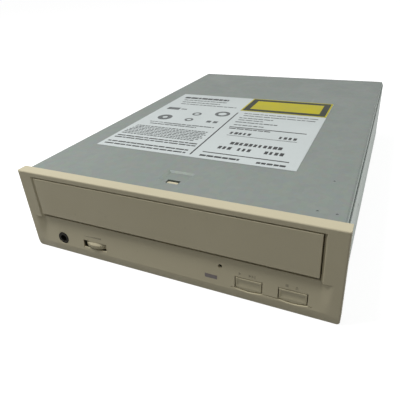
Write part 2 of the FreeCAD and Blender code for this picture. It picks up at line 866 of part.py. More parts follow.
def make_base_pan():
    """Floor, side walls and rear wall of the steel body, with collars for the mounting screws."""
    body = new_body("base_pan_body")
    half = s.body_width / 2
    rim_inside = half - s.rim_thick
    depth = (p.body_front, p.body_rear)
    section = [
        (-half, s.body_bottom),
        (half, s.body_bottom),
        (half, p.wall_top),
        (rim_inside, p.wall_top),
        (rim_inside, p.flange_room),
        (p.wall_inside, p.flange_room),
        (p.wall_inside, p.floor_top),
        (-p.wall_inside, p.floor_top),
        (-p.wall_inside, p.flange_room),
        (-rim_inside, p.flange_room),
        (-rim_inside, p.wall_top),
        (-half, p.wall_top),
    ]
    slab(body, "XZ_Plane", depth, [section])
    rear = (p.body_rear - s.sheet, p.body_rear)
    wall_high = p.cover_under - s.rail_gap
    narrow = p.cover_half - s.sheet - s.rail_gap
    rear_wall = [
        (-p.wall_inside, p.floor_top),
        (p.wall_inside, p.floor_top),
        (p.wall_inside, p.flange_room),
        (narrow, p.flange_room),
        (narrow, wall_high),
        (-narrow, wall_high),
        (-narrow, p.flange_room),
        (-p.wall_inside, p.flange_room),
    ]
    slab(body, "XZ_Plane", rear, [rear_wall])
    windows = [
        rectangle(span_of(s.ide_x, s.ide_width + 2 * s.window_gap), window_heights(s.ide_height)),
        rectangle(span_of(p.power_x, s.power_width + 2 * s.window_gap), window_heights(s.power_height)),
        rectangle(span_of(p.audio_x, s.audio_width + 2 * s.window_gap), window_heights(s.audio_height)),
        rectangle(span_of(p.jumper_x, jumper_width() + 2 * s.window_gap), window_heights(jumper_height())),
    ]
    cavity(body, "XZ_Plane", rear, windows)
    heights = (s.body_bottom + s.mount_low, s.body_bottom + s.mount_low + s.mount_rise)
    rows = (p.mount_y1, p.mount_y2)
    collars = [(y, z, s.collar_radius) for y in rows for z in heights]
    bores = [(y, z, s.mount_radius) for y in rows for z in heights]
    for low, high in (
        (-p.wall_inside, -p.wall_inside + s.collar_length),
        (p.wall_inside - s.collar_length, p.wall_inside),
    ):
        slab(body, "YZ_Plane", (low, high), circles=collars)
    for low, high in ((-half, -p.wall_inside + s.collar_length), (p.wall_inside - s.collar_length, half)):
        cavity(body, "YZ_Plane", (low, high), circles=bores)
    columns = both(p.mount_half)
    collars = [(x, y, s.collar_radius) for x in columns for y in rows]
    bores = [(x, y, s.mount_radius) for x in columns for y in rows]
    slab(body, "XY_Plane", (p.floor_top, p.floor_top + s.collar_length), circles=collars)
    cavity(body, "XY_Plane", (s.body_bottom, p.floor_top + s.collar_length), circles=bores)
    main_posts = [(x, y, s.collar_radius) for x, y in main_board_posts()]
    slab(body, "XY_Plane", (p.floor_top, s.main_board_z), circles=main_posts)
    front_posts = [(x, front_board_post_y(), s.collar_radius) for x in both(front_board_post_x())]
    slab(body, "XY_Plane", (p.floor_top, s.front_board_z), circles=front_posts)
    countersinks = [(x, y, s.mount_radius) for x, y in chassis_posts()]
    cavity(body, "XY_Plane", (s.body_bottom, p.floor_top), circles=countersinks, slope=45.0)
    latch_window = rectangle(side_latch_hook(), side_latch_heights(s.rail_gap))
    cavity(body, "YZ_Plane", (p.wall_inside, half), [latch_window])
    cavity(body, "YZ_Plane", (-half, -p.wall_inside), [latch_window])
    return add_node(body, "base_pan")


def window_heights(height):
    """Heights of a rear window round a connector that stands on the main board."""
    return (p.board_top - s.window_gap, p.board_top + height + s.window_gap)


def jumper_width():
    """Width of the jumper header."""
    return s.pin_pitch * s.jumper_columns


def jumper_height():
    """Height of the jumper header's two rows."""
    return s.pin_pitch * 2


def main_board_posts():
    """Places of the pan's posts under the main board."""
    narrow = p.board_narrow - s.board_hole_side
    wide = p.board_wide - s.board_hole_side
    front = p.board_front + s.board_hole_front
    rear = p.body_rear - s.board_hole_rear
    return [(narrow, front), (-narrow, front), (wide, rear), (-wide, rear)]


def front_board_post_x():
    """Distance of the pan's posts under the front board from the middle."""
    return p.front_board_half - s.front_post_side


def front_board_post_y():
    """Row of the pan's posts under the front board."""
    return p.front_board_rear - s.front_post_inset


def chassis_posts():
    """Places of the posts that carry the loader chassis."""
    return [(x, y) for x in both(p.post_x) for y in (p.front_post_y, p.rear_post_y)]


def side_latch_hook():
    """Depth range of the window for a side latch's hook."""
    start = p.body_front + s.latch_length / 2
    return (start, start + s.slot_depth)


def side_latch_heights(margin):
    """Heights of a side latch, or of its window with a margin."""
    low, high = span_of(s.side_latch_z, s.side_latch_width)
    return (low - margin, high + margin)


def make_top_cover():
    """Steel sheet with a rounded bend and a flange at each side, and a sunk tab with a slot."""
    body = new_body("top_cover_body")
    inside = p.cover_half - s.sheet
    low = p.body_top - s.cover_flange
    section = [
        (-p.cover_half, low),
        (-inside, low),
        (-inside, p.cover_under),
        (inside, p.cover_under),
        (inside, low),
        (p.cover_half, low),
        (p.cover_half, p.body_top),
        (-p.cover_half, p.body_top),
    ]
    slab(body, "XZ_Plane", (p.body_front, p.body_rear), [section])

    def outer_bend(start, end):
        """The two long upper edges."""
        along = near(start.x, end.x) and near(start.z, end.z)
        return along and near(start.z, p.body_top.number) and near(abs(start.x), p.cover_half.number)

    def inner_bend(start, end):
        """The two long edges inside the bends."""
        along = near(start.x, end.x) and near(start.z, end.z)
        return along and near(start.z, p.cover_under.number) and near(abs(start.x), inside.number)

    round_edges(body, s.bend_radius, outer_bend)
    round_edges(body, s.bend_radius - s.sheet, inner_bend)
    tab_x = both(s.tab_width / 2)
    tab_y = (p.body_front + s.tab_start, p.body_front + s.tab_start + s.tab_depth)
    low_x = (tab_x[0] + s.tab_sink, tab_x[1] - s.tab_sink)
    low_y = (tab_y[0] + s.tab_sink, tab_y[1] - s.tab_sink)
    slab(body, "XY_Plane", (p.cover_under - s.tab_sink, p.cover_under), [rectangle(low_x, low_y)])
    tab = (p.body_top - s.tab_sink, p.body_top)
    cavity(body, "XY_Plane", tab, [rectangle(tab_x, tab_y)], slope=-s.tab_slope)
    slot_y = (p.body_front + s.slot_start, p.body_front + s.slot_start + s.slot_depth)
    slot = rectangle(both(s.slot_width / 2), slot_y)
    cavity(body, "XY_Plane", (p.cover_under - s.tab_sink, p.body_top), [slot])
    pits = [
        (p.cover_half - s.pit_middle_side, p.body_front + s.pit_middle_set, s.pit_radius),
        (p.cover_half - s.pit_inner_side, p.body_front + s.pit_front_set, s.pit_radius),
        (p.cover_half - s.pit_outer_side, p.body_front + s.pit_front_set, s.pit_radius),
    ]
    cavity(body, "XY_Plane", (p.body_top - s.pit_sink, p.body_top), circles=pits)
    return add_node(body, "top_cover")


def button_outline(centre, margin):
    """A button's outline with a gently bulging lower edge, grown by a margin."""
    left = centre - s.button_width / 2 - margin
    right = centre + s.button_width / 2 + margin
    return rectangle((left, right), (s.button_low - margin, s.button_top + margin))


def button_arc(margin):
    """Radius and side of the bulging lower edge."""
    half = s.button_width / 2 + margin
    return {0: ((half * half + s.button_sag * s.button_sag) / (2 * s.button_sag), 1)}


def door_opening():
    """Outline of the bezel's opening round the tray door."""
    across = both(p.door_half + s.door_gap)
    return rectangle(across, (p.opening_low, p.opening_high))


def fading_strip():
    """Wedge that sets the face back under the tray door and fades out past its ends."""
    half = (p.door_half + s.door_gap).number
    front = p.front_y.number
    top = p.opening_low.number
    sections = []
    steps = 8
    for step in range(steps + 1):
        share = step / steps
        sink = s.strip_sink.number * (0.5 + 0.5 * math.cos(math.pi * share)) + 0.004
        sections.append((half + s.strip_fade.number * share, sink))
    mirrored = [(-x, sink) for x, sink in reversed(sections)]
    wires = []
    for x, sink in mirrored + sections:
        corners = [
            FreeCAD.Vector(x, front - 1, s.lip_height.number - 0.01),
            FreeCAD.Vector(x, front, s.lip_height.number),
            FreeCAD.Vector(x, front + sink, top),
            FreeCAD.Vector(x, front - 1, top),
        ]
        wires.append(Part.makePolygon(corners + corners[:1]))
    wedge = doc.addObject("Part::Feature", "strip_wedge")
    wedge.Shape = Part.makeLoft(wires, True, True)
    return wedge


def frame_bevel():
    """Tool that slopes the side edges of the tray opening back from the face."""
    wires = []
    for depth, margin in ((0, s.frame_bevel), (s.frame_bevel_depth, 0)):
        y = (p.front_y + depth).number
        half = (p.door_half + s.door_gap + margin).number
        low = p.opening_low.number
        top = p.opening_high.number
        corners = [(-half, low), (half, low), (half, top), (-half, top), (-half, low)]
        wires.append(Part.makePolygon([FreeCAD.Vector(x, y, z) for x, z in corners]))
    tool = doc.addObject("Part::Feature", "frame_bevel")
    tool.Shape = Part.makeLoft(wires, True, True)
    return tool


def make_front_bezel():
    """Moulded bezel with the tray opening, control openings, a hollow back and three latches."""
    body = new_body("front_bezel_body")
    lip_radius = (s.lip_height * s.lip_height + s.lip_back * s.lip_back) / (2 * s.lip_back)
    section = [
        (p.front_y, s.lip_height),
        (p.front_y + s.lip_back, 0),
        (p.body_front, 0),
        (p.body_front, p.bezel_height),
        (p.front_y, p.bezel_height),
    ]
    half = p.bezel_half
    slab(body, "YZ_Plane", both(half), [section], arcs={0: (lip_radius, 1)})

    def lower_corner(start, end):
        """The short edges that run back from the face at the lower corners."""
        side = near(abs(start.x), half.number) and near(start.x, end.x)
        return side and near(start.z, 0) and near(end.z, 0)

    def face_edge(start, end):
        """The upright and upper edges of the face."""
        front = near(start.y, p.front_y.number) and near(end.y, p.front_y.number)
        upright = near(start.x, end.x)
        upper = near(start.z, p.bezel_height.number) and near(end.z, p.bezel_height.number)
        return front and (upright or upper)

    round_edges(body, s.bezel_corner, lower_corner)
    round_edges(body, s.bezel_round, face_edge)
    through = (p.front_y - 1, p.body_front)
    cavity(body, "XZ_Plane", through, [door_opening()])

    rim = (s.bezel_rim, p.opening_low - s.bezel_rim)
    hollow = rectangle(both(half - s.bezel_rim), rim)
    cavity(body, "XZ_Plane", (p.bezel_inside, p.body_front), [hollow])
    crease_reach = s.button_width / 2 + s.crease_margin
    crease_x = (p.play_x - crease_reach, p.eject_x + crease_reach)
    crease = rectangle(crease_x, (s.button_low - s.crease_height, s.button_low))
    cavity(body, "XZ_Plane", (p.front_y - 1, p.front_y + s.crease_sink), [crease])
    holes = [
        (p.jack_x, s.panel_z, s.jack_hole_radius),
        (p.pinhole_x, s.pinhole_z, s.pinhole_radius),
    ]
    wheel_slot = rectangle(
        span_of(p.wheel_x, s.wheel_slot_width), span_of(s.panel_z, s.wheel_thick + 2 * s.wheel_gap)
    )
    lamp_slot = rectangle(span_of(p.lamp_x, s.lamp_width), span_of(s.panel_z, s.lamp_height))
    cavity(body, "XZ_Plane", through, [wheel_slot, lamp_slot], holes)
    wheel_room = rectangle(
        span_of(p.wheel_x, s.wheel_slot_width + 2 * s.wheel_skin),
        span_of(s.panel_z, s.wheel_thick + 2 * s.wheel_gap + 2 * s.wheel_skin),
    )
    cavity(body, "XZ_Plane", (p.front_y + s.wheel_skin, p.body_front), [wheel_room])
    for centre in (p.play_x, p.eject_x):
        shape = button_outline(centre, s.button_gap)
        cavity(body, "XZ_Plane", through, [shape], arcs=button_arc(s.button_gap))
    slot_front = p.body_front + s.slot_start
    latch_x = both(s.latch_width / 2)
    latch_top = p.cover_under - s.tab_sink - s.rail_gap
    latch_root = p.opening_high + s.bezel_rim / 2
    tongue = (latch_top - s.latch_thick, latch_top)
    slab(body, "XY_Plane", tongue, [rectangle(latch_x, (p.body_front, p.body_front + s.latch_length))])
    hook_y = (slot_front + s.rail_gap, p.body_front + s.latch_length)
    hook = (latch_top, p.body_top - s.tab_sink - s.rail_gap)
    slab(body, "XY_Plane", hook, [rectangle(latch_x, hook_y)])
    root = [
        (p.body_front, latch_root),
        (p.body_front + s.latch_root, latch_top - s.latch_thick),
        (p.body_front, latch_top - s.latch_thick),
    ]
    slab(body, "YZ_Plane", latch_x, [root])
    window = side_latch_hook()
    for side in (-1, 1):
        tongue_x = sorted_span(
            side * (p.wall_inside - s.rail_gap - s.latch_thick), side * (p.wall_inside - s.rail_gap)
        )
        hook_x = sorted_span(side * (p.wall_inside - s.rail_gap), side * (s.body_width / 2 - s.rail_gap))
        length = (p.body_front, p.body_front + s.latch_length)
        heights = side_latch_heights(0)
        slab(body, "XY_Plane", heights, [rectangle(tongue_x, length)])
        grip = (window[0] + s.rail_gap, window[1] - s.rail_gap)
        slab(body, "XY_Plane", heights, [rectangle(hook_x, grip)])
    shell = cut(body, [fading_strip(), frame_bevel()], "front_bezel_cut")
    return add_node(shell, "front_bezel")


def sorted_span(first, second):
    """Two Sizes in rising order."""
    if first.number < second.number:
        return (first, second)
    return (second, first)


def make_case_screws():
    """Countersunk screws up through the floor into the chassis posts."""
    screws = []
    for x, y in chassis_posts():
        shank = drum("Z", (x, y), (s.body_bottom, s.chassis_floor_z - s.screw_tip), s.mount_radius)
        head = taper((x, y), (s.body_bottom, p.floor_top), s.mount_radius + s.sheet, s.mount_radius)
        screws.append(fuse([shank, head]))
    return add_node(group(screws), "case_screws")


def chassis_side_pieces(side):
    """Wall, floor strip, tray rail, lips and the cam beam's drop on one side of the loader chassis."""
    length = (p.chassis_front, p.chassis_end)
    floor = (s.chassis_floor_z, s.chassis_floor_z + s.chassis_floor)
    wall = sorted_span(side * p.chassis_inside, side * p.chassis_outside)
    strip = sorted_span(side * p.lift_opening, side * p.chassis_outside)
    strip_length = (p.jack_front + s.jack_depth + s.rail_gap, p.chassis_end)
    rail = sorted_span(side * (p.chassis_inside - s.rail_width), side * p.chassis_inside)
    rail_top = p.tray_bottom - s.rail_gap
    drop = sorted_span(side * p.lift_opening, side * (p.lift_opening + s.chassis_wall))
    pieces = [
        block(wall, length, (s.chassis_floor_z, p.chassis_top)),
        block(strip, strip_length, floor),
        block(rail, length, (rail_top - s.rail_thick, rail_top)),
        block(drop, beam_depth(), (p.beam_low, floor[1])),
    ]
    lip = sorted_span(side * (p.chassis_inside - s.lip_width), side * p.chassis_inside)
    lip_low = p.tray_top + s.rail_gap
    rear_lip = p.spindle_y + s.bridge_reach + s.rear_lip_gap
    for start, end in (
        (p.chassis_front, p.chassis_front + s.front_lip_length),
        (rear_lip, rear_lip + s.rear_lip_length),
    ):
        pieces.append(block(lip, (start, end), (lip_low, lip_low + s.lip_thick)))
    return pieces


def beam_depth():
    """Depth range of the beam under the cam slider."""
    return (p.cam_front - s.rail_gap, p.lift_front - s.rail_gap)


def chassis_bearing(side):
    """Pivot block on one side, and its bore."""
    across = sorted_span(side * (p.lift_half + s.rail_gap * 4), side * (p.lift_opening + s.pivot_reach))
    along = span_of(p.pivot_y, 2 * (s.pivot_radius + s.bearing_wall))
    heights = (s.chassis_floor_z, s.pivot_z + s.pivot_radius + s.bearing_wall)
    bore_x = sorted_span(side * p.lift_half, side * (p.lift_half + s.pivot_reach + s.level_gap))
    bore = drum("X", (p.pivot_y, s.pivot_z), bore_x, s.pivot_radius + s.running_gap)
    return block(across, along, heights), bore


def chassis_bosses(side):
    """Screw bosses of the clamp bridge on one side, and their bores."""
    pieces = []
    bores = []
    heights = (p.chassis_top - s.boss_depth, p.chassis_top)
    for y in bridge_screw_rows():
        neck = sorted_span(side * (p.chassis_outside - s.joining_depth), side * p.boss_x)
        pieces.append(drum("Z", (side * p.boss_x, y), heights, s.boss_radius))
        pieces.append(block(neck, span_of(y, s.boss_radius * math.sqrt(2)), heights))
        bores.append(drum("Z", (side * p.boss_x, y), heights, s.small_screw))
    return pieces, bores


def bridge_screw_rows():
    """Rows of the clamp bridge's screws."""
    return span_of(p.spindle_y, 2 * s.bridge_screw_reach)


def make_loader_chassis():
    """Plastic frame with the tray rails, the front deck, gear posts, pivot blocks and the cam beam."""
    pieces = []
    holes = []
    for side in (-1, 1):
        pieces += chassis_side_pieces(side)
        bearing, bore = chassis_bearing(side)
        pieces.append(bearing)
        holes.append(bore)
        bosses, bores = chassis_bosses(side)
        pieces += bosses
        holes += bores
    for x, y in chassis_posts():
        pieces.append(drum("Z", (x, y), (p.floor_top, s.chassis_floor_z + s.joining_depth), s.post_radius))
        holes.append(drum("Z", (x, y), (p.floor_top, s.chassis_floor_z - s.screw_tip), s.mount_radius))
    across = both(p.chassis_inside + s.joining_depth)
    floor = (s.chassis_floor_z, s.chassis_floor_z + s.chassis_floor)
    pieces.append(block(across, (p.chassis_front, p.deck_back), (s.deck_z, p.deck_top)))
    pieces.append(block(across, (p.lift_rear + s.lift_gap, p.chassis_end), floor))
    pieces.append(block(both(p.lift_opening + s.lift_gap), beam_depth(), (p.beam_low, p.beam_top)))
    lip_across = both(s.cam_half_width + s.cam_stroke)
    lip_depth = (p.lift_front - s.cam_gap, p.lift_front - s.rail_gap)
    pieces.append(block(lip_across, lip_depth, (p.beam_low, p.beam_top + s.beam_lip)))
    gear_post = (s.deck_z, p.tray_bottom - 2 * s.level_gap)
    pulley_post = (s.deck_z, p.pulley_low + s.pulley_thick + s.level_gap)
    pieces.append(drum("Z", (p.gear_x, p.gear_y), gear_post, s.post_pin_radius))
    pieces.append(drum("Z", (p.pulley_x, p.gear_y), pulley_post, s.post_pin_radius))
    motor_hole = s.motor_shaft_radius + s.motor_collar + s.rail_gap
    holes.append(drum("Z", (p.motor_x, p.motor_y), (s.deck_z, p.deck_top), motor_hole))
    chassis = cut(fuse(pieces), holes)
    return add_node(chassis, "loader_chassis")


def make_tray():
    """Disc tray with wells for two disc sizes, a slot for the spindle and pickup, and a rack below."""
    centre = (0, p.spindle_y)
    below = p.tray_bottom - s.tray_skin
    above = p.tray_top + s.tray_skin
    slot_length = (p.spindle_y, p.tray_rear + s.tray_skin)
    outer = block(both(p.tray_half), (p.tray_front, p.tray_rear), (p.tray_bottom, p.tray_top))
    hollow = block(
        both(p.tray_half - s.tray_skin),
        (p.tray_front + s.tray_skin, p.tray_rear - s.tray_skin),
        (p.tray_bottom, p.tray_top - s.tray_skin),
    )
    kept = [
        drum("Z", centre, (below, above), p.well_radius + s.well_wall),
        block(both(s.tray_slot_radius + s.tray_skin), slot_length, (below, above)),
    ]
    well_low = p.tray_bottom + s.well_floor
    tools = [
        cut(hollow, kept),
        drum("Z", centre, (well_low, above), p.well_radius),
        drum("Z", centre, (well_low - s.small_well_sink, above), s.small_well_radius),
        drum("Z", centre, (below, above), s.tray_slot_radius),
        block(both(s.tray_slot_radius), slot_length, (below, above)),
    ]
    shell = cut(outer, tools)
    rack = doc.addObject("Part::Feature", "tray_rack")
    start = -s.rack_ahead
    end = p.tray_rear - s.rack_inset - p.gear_y
    rack.Shape = rack_shape(
        s.load_module.number,
        start.number,
        end.number,
        (s.rack_height + s.joining_depth).number,
        s.rack_back.number,
        s.gear_backlash.number,
    )
    place(rack, p.rack_x, p.gear_y, p.tray_bottom - s.rack_height)
    backing = block(
        (p.rack_x + s.rack_back - s.joining_depth, p.rack_x + s.rack_back - s.joining_depth + s.rack_wall),
        (p.gear_y + start, p.gear_y + end),
        (p.tray_bottom - s.rack_height, p.tray_top - s.tray_skin),
    )
    cleared = cut(backing, [drum("Z", centre, (p.tray_bottom, above), p.well_radius)])
    return add_node(fuse([shell, rack, cleared]), "tray")


def make_tray_door():
    """The tray's front panel."""
    body = new_body("tray_door_body")
    across = both(p.door_half)
    slab(body, "XZ_Plane", (p.front_y, p.tray_front), [rectangle(across, (s.door_bottom, p.door_top))])

    def face_edge(start, end):
        """The four edges of the face."""
        return near(start.y, p.front_y.number) and near(end.y, p.front_y.number)

    round_edges(body, s.door_round, face_edge)
    return add_node(body, "tray_door")


def tooth_profile(module, teeth, backlash):
    """Radius and half angle down one flank of a spur gear's tooth, root first."""
    pitch = module * teeth / 2
    base = pitch * math.cos(math.radians(20))
    root = pitch - 1.25 * module
    tip = pitch + module
    involute = math.tan(math.radians(20)) - math.radians(20)
    half = math.pi / (2 * teeth) - backlash / (2 * pitch) + involute
    start = max(base, root)
    flank = [(root, half)] if root < base else []
    steps = 4
    for step in range(steps + 1):
        radius = start + (tip - start) * step / steps
        angle = math.acos(min(base / radius, 1.0))
        flank.append((radius, half - (math.tan(angle) - angle)))
    return flank


def gear_shape(module, teeth, low, high, backlash, phase=0.0):
    """A spur gear about the Z axis with involute flanks; phase turns it by that share of a pitch."""
    flank = tooth_profile(module, teeth, backlash)
    points = []
    for tooth in range(int(teeth)):
        centre = 2 * math.pi * (tooth + phase) / teeth
        for radius, half in flank:
            points.append(polar(radius, centre - half, low))
        for radius, half in reversed(flank):
            points.append(polar(radius, centre + half, low))
    outline = Part.makePolygon(points + points[:1])
    return Part.Face(outline).extrude(FreeCAD.Vector(0, 0, high - low))


def tooth_phase(teeth, share):
    """Phase that points a tooth's middle at that share of a turn."""
    return (teeth * share) % 1.0


def gap_phase(teeth, share):
    """Phase that points the middle of a gap at that share of a turn."""
    return (teeth * share + 0.5) % 1.0


def polar(radius, angle, z):
    """A point at that radius, angle and height."""
    return FreeCAD.Vector(radius * math.cos(angle), radius * math.sin(angle), z)


def rack_shape(module, start, end, height, back, backlash):
    """A rack along Y with its pitch line at x=0, teeth towards -X and a gap at y=0."""
    pitch = math.pi * module
    slope = math.tan(math.radians(20))
    half = pitch / 4 - backlash / 2
    points = [FreeCAD.Vector(back, start, 0)]
    root = 1.25 * module
    tip = -module
    points.append(FreeCAD.Vector(root, start, 0))
    number = math.ceil(start / pitch + 0.5)
    while (number + 0.5) * pitch + pitch / 2 < end:
        centre = (number + 0.5) * pitch
        points.append(FreeCAD.Vector(root, centre - half - slope * root, 0))
        points.append(FreeCAD.Vector(tip, centre - half - slope * tip, 0))
        points.append(FreeCAD.Vector(tip, centre + half + slope * tip, 0))
        points.append(FreeCAD.Vector(root, centre + half + slope * root, 0))
        number += 1
    points.append(FreeCAD.Vector(root, end, 0))
    points.append(FreeCAD.Vector(back, end, 0))
    return Part.Face(Part.makePolygon(points + points[:1])).extrude(FreeCAD.Vector(0, 0, height))


def tube(radius, bore, low, high):
    """A ring about the Z axis."""
    outer = Part.makeCylinder(radius, high - low, FreeCAD.Vector(0, 0, low))
    inner = Part.makeCylinder(bore, high - low, FreeCAD.Vector(0, 0, low))
    return outer.cut(inner)


def turned(points):
    """A solid of revolution about Z from its half section of radius and height points."""
    corners = [FreeCAD.Vector(radius, 0, z) for radius, z in points]
    face = Part.Face(Part.makePolygon(corners + corners[:1]))
    return face.revolve(FreeCAD.Vector(), FreeCAD.Vector(0, 0, 1), 360)


def feature_at(shape, x, y, label):
    """A sub-part whose shape stands about its own upright axis at x, y."""
    item = doc.addObject("Part::Feature", label + "_shape")
    item.Shape = shape
    place(item, x, y, 0)
    return add_node(item, label)


def make_loading_gears():
    """Loading gear, pulley gear and motor pulley, in mesh with each other and the tray's rack."""
    bore = (s.post_pin_radius + s.running_gap).number
    low = p.gear_low.number
    high = p.wheel_top.number
    upper_low = p.load_low.number
    upper_high = (p.load_low + s.gear_thick).number
    backlash = s.gear_backlash.number
    wheel_teeth = s.wheel_teeth.number
    wheel = gear_shape(
        s.wheel_module.number, wheel_teeth, low, high, backlash, tooth_phase(wheel_teeth, 0.5)
    )
    upper = gear_shape(s.load_module.number, s.load_teeth.number, upper_low, upper_high, backlash)
    hub_radius = s.wheel_module.number * wheel_teeth / 4
    hub = Part.makeCylinder(hub_radius, upper_low - low, FreeCAD.Vector(0, 0, low))
    hole = Part.makeCylinder(bore, p.body_top.number)
    feature_at(wheel.fuse([upper, hub]).cut(hole), p.gear_x, p.gear_y, "loading_gear")
    pinion_teeth = s.pinion_teeth.number
    pinion = gear_shape(
        s.wheel_module.number,
        pinion_teeth,
        low,
        p.pulley_low.number,
        backlash,
        gap_phase(pinion_teeth, 0.0),
    )
    rim = grooved(s.pulley_radius.number, p.pulley_low.number)
    feature_at(pinion.fuse([rim]).cut(hole), p.pulley_x, p.gear_y, "pulley_gear")
    shaft = Part.makeCylinder((s.motor_shaft_radius + s.running_gap).number, p.body_top.number)
    small = grooved(s.motor_pulley_radius.number, p.pulley_low.number)
    feature_at(small.cut(shaft), p.motor_x, p.motor_y, "motor_pulley")


def grooved(radius, low):
    """A pulley with a groove round its rim."""
    high = low + s.pulley_thick.number
    middle = (low + high) / 2
    half = s.belt_thick.number / 2 + s.groove_gap.number
    mouth = half + s.groove_flare.number
    deep = radius - s.groove_depth.number
    return turned([
        (0, low),
        (radius, low),
        (radius, middle - mouth),
        (deep, middle - half),
        (deep, middle + half),
        (radius, middle + mouth),
        (radius, high),
        (0, high),
    ])


def make_loading_motor():
    """Can motor under the deck with its shaft through it."""
    centre = (p.motor_x, p.motor_y)
    can = drum("Z", centre, (p.floor_top + s.load_motor_rise, s.deck_z), s.load_motor_radius)
    collar_heights = (s.deck_z - s.joining_depth, p.deck_top - s.level_gap)
    collar = drum("Z", centre, collar_heights, s.motor_shaft_radius + s.motor_collar)
    shaft = drum("Z", centre, (s.deck_z, p.pulley_low + s.pulley_thick + s.level_gap), s.motor_shaft_radius)
    return add_node(fuse([can, collar, shaft]), "loading_motor")


def make_loading_belt():
    """Square belt round the two pulleys, a hair clear of their grooves."""
    middle = (p.pulley_low + s.pulley_thick / 2).number
    large = (s.pulley_radius - s.groove_depth + s.belt_gap).number
    small = (s.motor_pulley_radius - s.groove_depth + s.belt_gap).number
    first = FreeCAD.Vector(p.pulley_x.number, p.gear_y.number, 0)
    second = FreeCAD.Vector(p.motor_x.number, p.motor_y.number, 0)
    low = middle - s.belt_thick.number / 2
    outer = belt_face(first, large + s.belt_thick.number, second, small + s.belt_thick.number, low)
    inner = belt_face(first, large, second, small, low)
    belt = doc.addObject("Part::Feature", "belt_loop")
    belt.Shape = outer.cut(inner).extrude(FreeCAD.Vector(0, 0, s.belt_thick.number))
    return add_node(belt, "loading_belt")


def belt_face(first, large, second, small, z):
    """The area inside a loop drawn tight round two circles."""
    way = second - first
    heading = math.atan2(way.y, way.x)
    lean = math.acos((large - small) / way.Length)
    points = []
    for centre, radius in ((first, large), (second, small)):
        for sign in (1, -1):
            angle = heading + sign * lean
            points.append(centre + FreeCAD.Vector(math.cos(angle), math.sin(angle), 0) * radius)
    far = first + FreeCAD.Vector(math.cos(heading + math.pi), math.sin(heading + math.pi), 0) * large
    tip = second + FreeCAD.Vector(math.cos(heading), math.sin(heading), 0) * small
    edges = [
        Part.Arc(points[0], far, points[1]).toShape(),
        Part.LineSegment(points[1], points[3]).toShape(),
        Part.Arc(points[3], tip, points[2]).toShape(),
        Part.LineSegment(points[2], points[0]).toShape(),
    ]
    face = Part.Face(Part.Wire(edges))
    face.translate(FreeCAD.Vector(0, 0, z))
    return face


def make_cam_slider():
    """Upright plate with two sloping slots that raise and lower the lift frame."""
    plate_y = (p.cam_front, p.cam_front + s.cam_plate)
    top = s.pivot_z + s.cam_margin
    across = span_of(-s.cam_stroke / 2, 2 * s.cam_half_width)
    plate = block(across, plate_y, (p.cam_low, top))
    flange = block(across, (p.cam_front - s.cam_flange_reach, plate_y[1]), (top, top + s.cam_flange))
    slots = []
    radius = (s.cam_pin_radius + s.wheel_gap).number
    low = (plate_y[0] - s.cam_plate).number
    for x in both(s.cam_pin_x):
        start = FreeCAD.Vector(x.number, low, s.pivot_z.number)
        way = FreeCAD.Vector(-s.cam_stroke.number, 0, -s.cam_drop.number)
        across = FreeCAD.Vector(way.z, 0, -way.x).normalize() * radius
        end = start + way
        reach = way.normalize() * radius
        edges = [
            Part.LineSegment(start + across, end + across).toShape(),
            Part.Arc(end + across, end + reach, end - across).toShape(),
            Part.LineSegment(end - across, start - across).toShape(),
            Part.Arc(start - across, start - reach, start + across).toShape(),
        ]
        slot = doc.addObject("Part::Feature", "cam_slot")
        slot.Shape = Part.Face(Part.Wire(edges)).extrude(FreeCAD.Vector(0, 3 * s.cam_plate.number, 0))
        slots.append(slot)
    return add_node(cut(fuse([plate, flange]), slots), "cam_slider")


def damper_places():
    """Places of the rubber dampers at the deck plate's corners."""
    columns = both(p.deck_half - s.damper_inset)
    rows = (p.deck_front + s.damper_inset, p.deck_rear - s.damper_inset)
    return [(x, y) for x in columns for y in rows]


def make_lift_frame():
    """Plastic ring that carries the deck plate, with pivot pins at the rear and cam pins in front."""
    low = p.lift_bottom
    high = low + s.lift_height
    inner = block(
        both(p.lift_half - s.lift_bar),
        (p.lift_front + s.lift_bar, p.lift_rear - s.lift_bar),
        (low - s.joining_depth, high + s.joining_depth),
    )
    pieces = [cut(block(both(p.lift_half), (p.lift_front, p.lift_rear), (low, high)), [inner])]
    holes = []
    ear_top = p.deck_plate_z - s.damper_flange
    for x, y in damper_places():
        outer_x = p.lift_half if x.number > 0 else -p.lift_half
        pieces.append(block(sorted_span(x, outer_x), span_of(y, 2 * s.damper_radius), (low, ear_top)))
        pieces.append(drum("Z", (x, y), (low, ear_top), s.damper_radius))
        holes.append(drum("Z", (x, y), (low, ear_top), s.small_screw))
    for side in (-1, 1):
        pin = sorted_span(side * (p.lift_half - s.joining_depth), side * (p.lift_half + s.pivot_reach))
        pieces.append(drum("X", (p.pivot_y, s.pivot_z), pin, s.pivot_radius))
        reach = (p.cam_front, p.lift_front + s.joining_depth)
        pieces.append(drum("Y", (side * s.cam_pin_x, s.pivot_z), reach, s.cam_pin_radius))
    return add_node(cut(fuse(pieces), holes), "lift_frame")


def rod_span():
    """Depth range of the guide rods."""
    return (p.opening_front - s.rod_reach + s.rod_end, p.opening_rear + s.rod_reach - s.rod_end)


